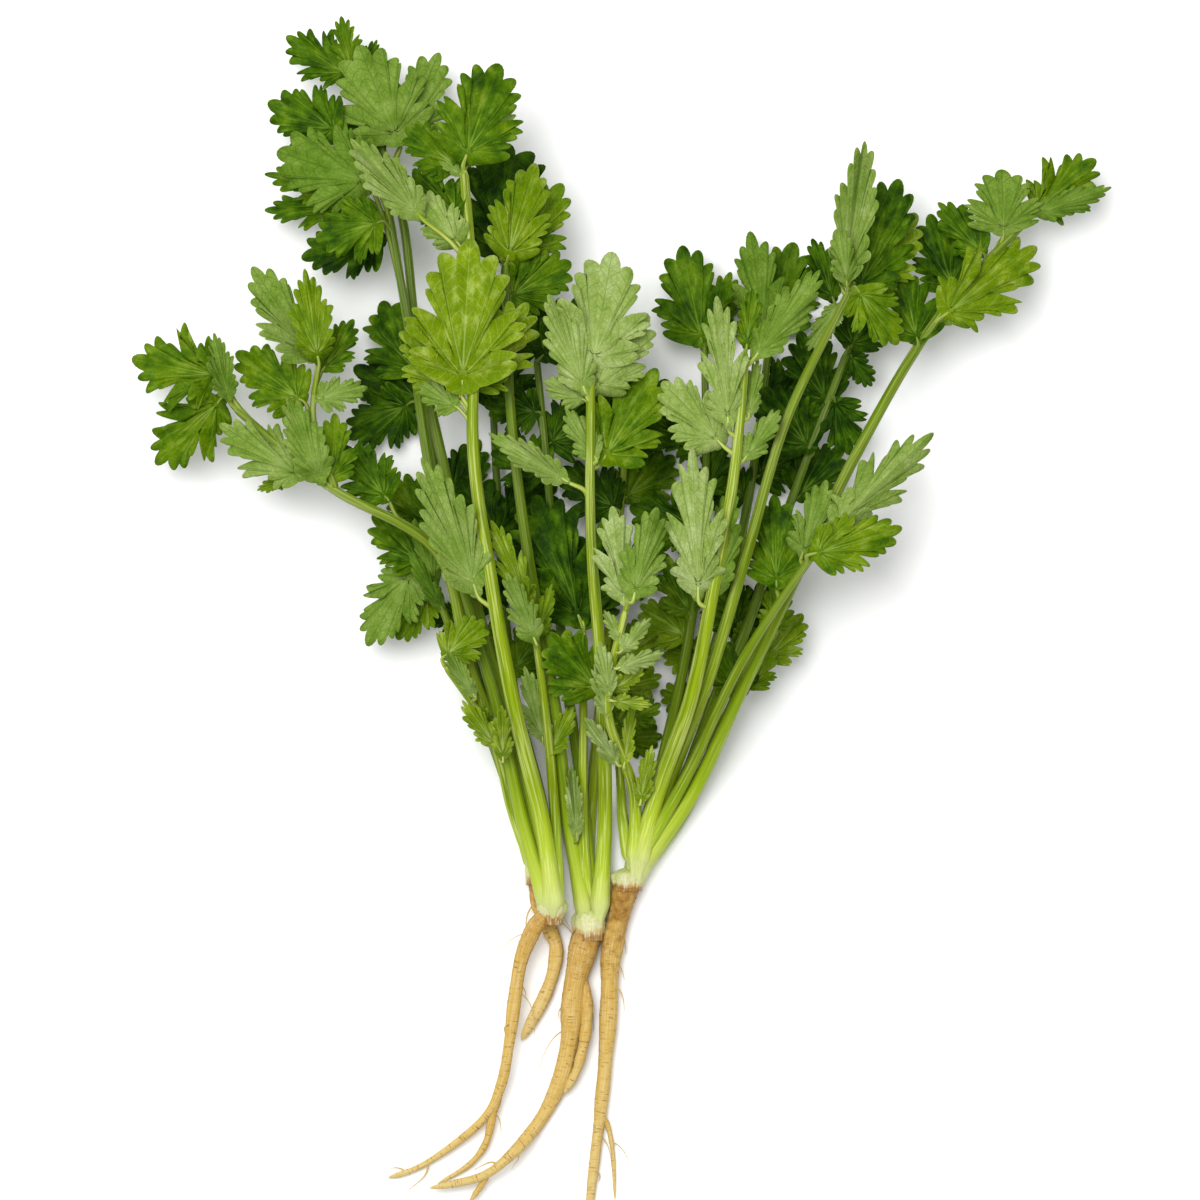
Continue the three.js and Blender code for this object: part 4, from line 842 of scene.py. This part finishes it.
def leaflet(row, layer, seed, lift, bend, curl):
    """A leaflet: from the heart, faces run out to the toothed edge along curves that first follow
    the lobe's main vein and then bend to the edge, s from 0 to 1. The blade bulges between veins,
    waves along its edge and droops by lobe. Its underside closes it, a leaf's thickness below."""
    shape, pose, tone = row[5], row[6], row[8]
    per, rows = POINTS.get(shape, MANY_POINTS), ROWS.get(shape, MANY_ROWS)
    heart = np.array([SHAPES[shape][0], 0])
    edge, x, tooth, place, width = outline(shape, seed, per)
    at, _, length = lay(row, layer, seed, lift, bend)
    draw = np.random.default_rng(seed + 1000)

    out = edge - heart
    angle = np.unwrap(np.arctan2(out[:, 1], out[:, 0]))
    angle -= 2 * np.pi * (angle[0] > 0)
    sides = [a for a, teeth in SHAPES[shape][2] for _ in teeth]
    middles = .5 + np.arange(len(sides) * 2 + 3)
    ribs = np.radians([-180] + [-a for a in sides] + [0] + sides[::-1] + [180])
    lobes = [a // 8 for a in sides]
    droop = draw.normal(0, 1, 12)[[0] + lobes + [10] + [9 - a for a in lobes[::-1]] + [0]]
    sway = np.interp(place, middles, droop)
    turn = angle * .2 + np.interp(place, middles, ribs) * .8
    leading = [max(range(len(teeth)), key=lambda n: np.hypot(*teeth[n][0])) == n
               for _, teeth in SHAPES[shape][2] for n in range(len(teeth))]
    main = np.array([False] + leading + [True] + leading[::-1], float)[tooth]
    size = np.linalg.norm(out, axis=1)
    lead = np.stack([np.cos(turn), np.sin(turn)], -1) * size[:, None] * .55
    s = (np.arange(1, rows + 1) / rows)[:, None]
    spot = heart + 2 * (s * (1 - s))[..., None] * lead + (s * s)[..., None] * out

    span = width[tooth] * row[4] ** .5 * length * s
    off = np.abs(x) * span / 2
    around = 2 * np.pi * np.arange(len(edge)) / len(edge)
    p = draw.uniform(0, 6.3, 4)
    waves = (.6 * s**2 * np.sin(2 * around + p[3]) + .5 * s**2 * np.sin(3 * around + p[0])
             + .4 * s**3 * np.sin(5 * around + p[1]) + .14 * s**4 * np.sin(11 * around + p[2]))
    lower = POSES[pose][2] == 0
    bulge = .12 * (1 - np.cos(np.pi * x)) * np.clip(span / 4, 0, 1) * ease(s, .1, .6) * (1.2 - s)
    vein = -.1 * np.exp(-(off / .3)**2) * ease(s, .2, .5)
    rib = -.14 * np.exp(-(off / .45)**2) * main * (1 - .7 * s)
    scale = min(1, length / 30)
    relief = (bulge + vein + rib) * (-.6 if lower else 1)
    above = curl * scale * (waves + .8 * s**2 * sway) + relief
    top = at(spot[..., 0], spot[..., 1], above)
    top[..., 2] = np.maximum(top[..., 2], .5)
    bottom = top.copy()
    bottom[..., 2] -= MIDDLE_THICK - EDGE_THIN * s
    rings = np.concatenate([top, bottom[::-1]])
    middle = top[0].mean(0)
    both = np.concatenate([s, s[::-1]])
    upper = np.repeat([1 - lower, lower], rows)[:, None]
    far = both * size * length
    ray = np.stack(np.broadcast_arrays(RAYS * np.cos(around), RAYS * np.sin(around),
                                       far * .09 + seed * 7.3), -1)
    return shell(rings, middle, middle - (0, 0, MIDDLE_THICK), across=np.abs(x), out=both,
                 upper=upper, span=np.concatenate([span, span[::-1]]), tone=tone, reach=far,
                 main=main, ray=ray), at


# Leaf blade: quilted between its veins, satin and deep green above, pale, matt and finely netted
# beneath. Veins run from the heart to every tooth and send side veins off at a slant. Its colour
# follows the tone, which paints shade on leaflets deep in the pile, and pale streaks on the upper
# side are a painted sheen.
blade = Finish("leaf_blade", Specular_IOR_Level=.05)
place = blade.node("TexCoord", output="Object")
tone, upper = blade.value("tone"), blade.value("upper")
across, out, span, reach = (blade.value(n) for n in ("across", "out", "span", "reach"))
cloud = blade.noise(place, 140, 3)
grainy = blade.noise(place, 1300, 3)
off = blade.times(blade.times(across, span), .5)
main = blade.fade(off, .05, blade.fade(out, 0, 1, .42, .2), 1, 0)
branching = blade.times(blade.fade(out, .3, .55), .7)
main = blade.times(main, blade.calc("MAXIMUM", blade.value("main"), branching))
slant = blade.plus(blade.plus(reach, off, -1.1), cloud, 1.6)
stripe = blade.calc("PINGPONG", slant, 1.5)
side = blade.times(blade.fade(stripe, .05, .28, 1, 0), blade.fade(span, .8, 2.6, 0, .85))
cells = blade.node("TexVoronoi", {"Vector": place, "Scale": 900.0}, feature="DISTANCE_TO_EDGE")
net = blade.fade(cells, .02, .12, .5, 0)
veins = blade.calc("MAXIMUM", main, side)
fine = blade.calc("MAXIMUM", veins, net)
streaks = blade.noise(blade.vector("ray"), 2.4, 4)
# This noise mottles the shade at random, and in part paints pale patches of sheen on the leaves.
mottle_and_sheen = blade.noise(place, 260, 2)
# The blade's colour runs from dark to light with the tone, which holds painted shade for leaflets
# deep in the pile.
shade = tone
for spread, share in ((cloud, .7), (mottle_and_sheen, .3), (streaks, .5), (grainy, .14)):
    shade = blade.plus(shade, blade.calc("SUBTRACT", spread, .5), share)
above = blade.ramp(shade, (0, "#102c00"), (.16, "#284800"), (.32, "#486c00"), (.5, "#688800"),
                   (.68, "#789404"), (.85, "#93ad1a"), (1, "#bccb10"))
lit = blade.ramp(shade, (0, "#224800"), (.3, "#55800a"), (.6, "#95ae44"), (1, "#c9d780"))
beneath = blade.ramp(shade, (0, "#42640a"), (.3, "#648622"), (.55, "#7f9d3c"), (.8, "#99b05a"),
                     (1, "#b4c680"))
dull = blade.ramp(shade, (0, "#264a02"), (.5, "#50761c"), (1, "#7b9746"))
# Painted sheen: pale streaks running out from the heart on the upper side, mixed towards the pale
# ramp.
painted_sheen = blade.times(blade.fade(streaks, .5, .72, 0, .55), blade.fade(out, .1, .4))
above = blade.mix(blade.times(net, .3), above, "#2c5000")
above = blade.mix(painted_sheen, above, lit)
above = blade.mix(blade.times(veins, .54), above, lit)
beneath = blade.mix(blade.times(fine, .7), beneath, dull)
stalky = blade.times(main, blade.fade(out, .05, .5, .7, 0))
pale_stalk = blade.ramp(shade, (0, "#3f6a0a"), (.4, "#86a83c"), (1, "#cfdf92"))
leaf_colour = blade.mix(stalky, blade.mix(upper, beneath, above), pale_stalk)
leaf_colour = blade.mix(blade.fade(out, .95, 1, 0, .4), leaf_colour, lit)
height = blade.plus(blade.times(fine, -.7), grainy, .5)
rough = blade.plus(blade.fade(upper, 0, 1, .62, .46), grainy, .1)
leaf_blade = blade.done(leaf_colour, height, .0003, .55, rough)

# Stalk: smooth and moist, almost white at the crown, yellow-green along its length and as green as
# its leaves at the top, with fine lengthwise fibres. Its tone mixes a lit colour with a
# painted-shade colour that darkens up the stem where the leaves shade it; pale lines along the
# fibres are partly a painted highlight, and dark bands along it are painted shade.
stalk = Finish("stalk_skin", Roughness=.36, Specular_IOR_Level=.1, Subsurface_Weight=.06,
               Subsurface_Scale=.002)
grain = stalk.vector("grain")
fibre = stalk.noise(grain, 1.0, 3, (2.2, 2.2, .05))
patch = stalk.noise(grain, 1.0, 2, (.2, .2, .06))
lit_green = stalk.ramp(stalk.value("along"), (0, "#e3e8a4"), (.05, "#dae688"), (.14, "#c8dc3c"),
                    (.35, "#b7d018"), (.7, "#a5bd10"), (1, "#a9c02c"))
shady = stalk.ramp(stalk.value("along"), (0, "#d8e094"), (.08, "#bcd030"), (.2, "#93b208"),
                   (.32, "#6a8c04"), (.5, "#426400"), (1, "#2e5200"))
# Lit and painted-shade copies of the stalk colour, mixed by tone: the shaded copy darkens up the
# stem, where leaves shade it.
green = stalk.mix(stalk.value("tone"), shady, lit_green)
# Pale lines along the fibres: partly the fibres' own colour, partly a painted highlight, weaker on
# stems in shade.
fibre_highlight = stalk.mix(stalk.fade(stalk.value("tone"), .2, .8, .15, .6), green, "#edf59c")
# Painted shade: dark bands along the stalk, mixed towards the shaded colour.
shade_bands = stalk.noise(grain, 1.0, 2, (.75, .75, .02))
green = stalk.mix(stalk.fade(shade_bands, .48, .7, 0, .6), green, shady)
green = stalk.mix(stalk.fade(fibre, .48, .62, 0, .85), green, fibre_highlight)
green = stalk.mix(stalk.fade(patch, .5, .75, 0, .4), green, "#749400")
stalk_skin = stalk.done(green, fibre, .0003, .5)

RIBS, RIB = 6, .045
STALK_SIDES, STALK_STEP = 24, 2
SHEATH = (7, 30)  # millimetres up the stem to where it is widest and to where it ends
FOOT_BACK, FOOT_SLANT = 2.2, .6  # how far before its leaflet a leaflet's stalk leaves the stem
FOOT_STEPS, FOOT_SIDES, FULL_SIZE = 14, 10, 30  # the last is a leaflet's length in millimetres


def stalk_shell(line, radius, tone, start):
    """A stalk along its line: its radius tapers evenly and carries RIBS low ribs. A main stalk's
    base is a sheath: from a narrow lip on the crown it swells over SHEATH[0] and slims again by
    SHEATH[1]. start is how far up its stem a branch begins."""
    length = np.linalg.norm(np.diff(line, axis=0), axis=1).sum()
    steps = max(8, int(length / STALK_STEP))
    t = np.linspace(0, 1, steps + 1)
    track = curve(line, t)
    thick = radius * (1 + (TAPER - 1) * t)
    if start == 0:
        thick *= (.3 + .95 * ease(t * length, -1, SHEATH[0])) * (
            1 - .2 * ease(t * length, SHEATH[0], SHEATH[1]))
    thick *= np.clip((1 - t) * steps / 1.5, .45, 1)
    track[:, 2] = np.maximum(track[:, 2], thick * (1 + RIB))
    return tube(track, thick[:, None], STALK_SIDES, RIBS, RIB, tone=tone,
                along=start + (1 - start) * t[:, None])


def leaflet_stalk(at, lines, size, tone):
    """The thin stalk between a stem and a leaflet: it leaves the stem a little before the leaflet
    and runs on as the first stretch of the midrib, tapering."""
    base = at(np.array(0.), np.array(0.))
    line = min(lines, key=lambda points: np.linalg.norm(points[:, :2] - base[:2], axis=1).min())
    gaps = np.linalg.norm(line[:, :2] - base[:2], axis=1)
    step = np.linalg.norm(line[1] - line[0])
    back = gaps.argmin() - (FOOT_BACK + gaps.min() * FOOT_SLANT) / step
    back = int(np.clip(round(back), 1, len(line) - 3))
    foot, ahead = line[back], line[back + 1] - line[back - 1]
    reach = np.linalg.norm(base - foot)
    lean = foot + ahead / np.linalg.norm(ahead) * reach * .3 + (base - foot) * .25
    t = np.linspace(0, 1, FOOT_STEPS + 1)
    track = curve([foot, lean, base, at(np.array(.1), np.array(0.)) - (0, 0, .25)], t)
    track[:, 2] = np.maximum(track[:, 2], .95)
    thick = (.9 - .5 * t) * (.55 + .45 * min(1, size / FULL_SIZE))
    return tube(track, thick[:, None], FOOT_SIDES, along=.75 + .25 * t[:, None], tone=tone)


STRETCH, CROWDING = 34, 1.2  # millimetres a knot, and how much closer they are near the crown
LINE_STEPS, FINE_STEPS = 80, 160


def relaxed(line):
    """The line eased to a few knots, closer near the crown, as the CAD stem has them."""
    length = np.linalg.norm(np.diff(line, axis=0), axis=1).sum()
    knots = max(3, round(length / STRETCH))
    knots = curve(line, np.linspace(0, 1, knots + 1)**CROWDING)
    return curve(knots, np.linspace(0, 1, LINE_STEPS + 1))


seed = 0
for (name, (plant, layer, radius, stem_tone, lines, rows)), main_line in zip(
        STEMS.items(), settled):
    tracks = [main_line] + [stem_line(line, layer, None) for line in lines[1:]]
    tracks = [relaxed(track) for track in tracks]
    crown = crowns[plant]
    home, start = np.array([*on_table(crown[:2]), crown[4]]), tracks[0][0]
    lip = home + (start - home) * (.8, 0, .8) - (0, .6 * crown[3], 0)
    tracks[0] = np.vstack([lip + (start - lip) * part for part in (0, .35, .7)] + [tracks[0]])
    stalks = [stalk_shell(track, radius * (BRANCH if i else 1), stem_tone, .6 if i else 0)
              for i, track in enumerate(tracks)]
    fine = [curve(track, np.linspace(0, 1, FINE_STEPS + 1)) for track in tracks]
    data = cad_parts[name].data
    corners = np.zeros(len(data.vertices) * 3)
    data.vertices.foreach_get("co", corners)
    corners = np.unique((corners.reshape(-1, 3) * METRE).round(3), axis=0)
    blades = []
    for row in rows:
        seed += 1
        lift, bend = fitted(row, layer, seed, corners)
        body, at = leaflet(row, layer, seed, lift, bend, CURLED.get(name, CURL))
        size = np.hypot(row[2] - row[0], row[3] - row[1]) * MM
        blades.append(body)
        stalks.append(leaflet_stalk(at, fine, size, (stem_tone + row[8]) / 2))
    piece(f"{name}_foliage", [(stalk_skin, stalks), (leaf_blade, blades)], "leafy_stem", name)

# The floor: a plain pale table under the whole bunch.
bpy.ops.mesh.primitive_plane_add(size=6)
floor = bpy.context.object
floor.name = "table"
paper = Finish("white_table", Roughness=.8, Specular_IOR_Level=.2)
paper.shader.inputs["Base Color"].default_value = (.93, .93, .93, 1)
floor.data.materials.append(paper.material)

# Light: a bright room and a broad soft lamp from the upper left.
room = bpy.data.worlds.new("room")
bpy.context.scene.world = room
room.use_nodes = True
sky = room.node_tree.nodes["Background"]
sky.inputs["Color"].default_value = (1, 1, 1, 1)
sky.inputs["Strength"].default_value = .68
lamp = bpy.data.objects.new("soft_lamp", bpy.data.lights.new("soft_lamp", "AREA"))
lamp.data.size, lamp.data.energy = .8, 20.5
lamp.location = (-.28, .34, 1.38)
lamp.rotation_euler = (-lamp.location).to_track_quat("-Z", "Y").to_euler()
bpy.context.scene.collection.objects.link(lamp)
bpy.context.scene.view_settings.view_transform = "Standard"

# Camera: straight down on the bunch through a long lens.
IMAGE, EYE_LEVEL = 1200, .025  # side of the drawing, height in metres at which it fills the view
eye = bpy.data.cameras.new("camera")
eye.lens, eye.sensor_width = 250, 36
camera = bpy.data.objects.new("camera", eye)
middle = on_table((IMAGE / 2, IMAGE / 2)) / METRE
camera.location = (*middle, EYE_LEVEL + IMAGE * MM / METRE * eye.lens / eye.sensor_width)
bpy.context.scene.collection.objects.link(camera)
bpy.context.scene.camera = camera
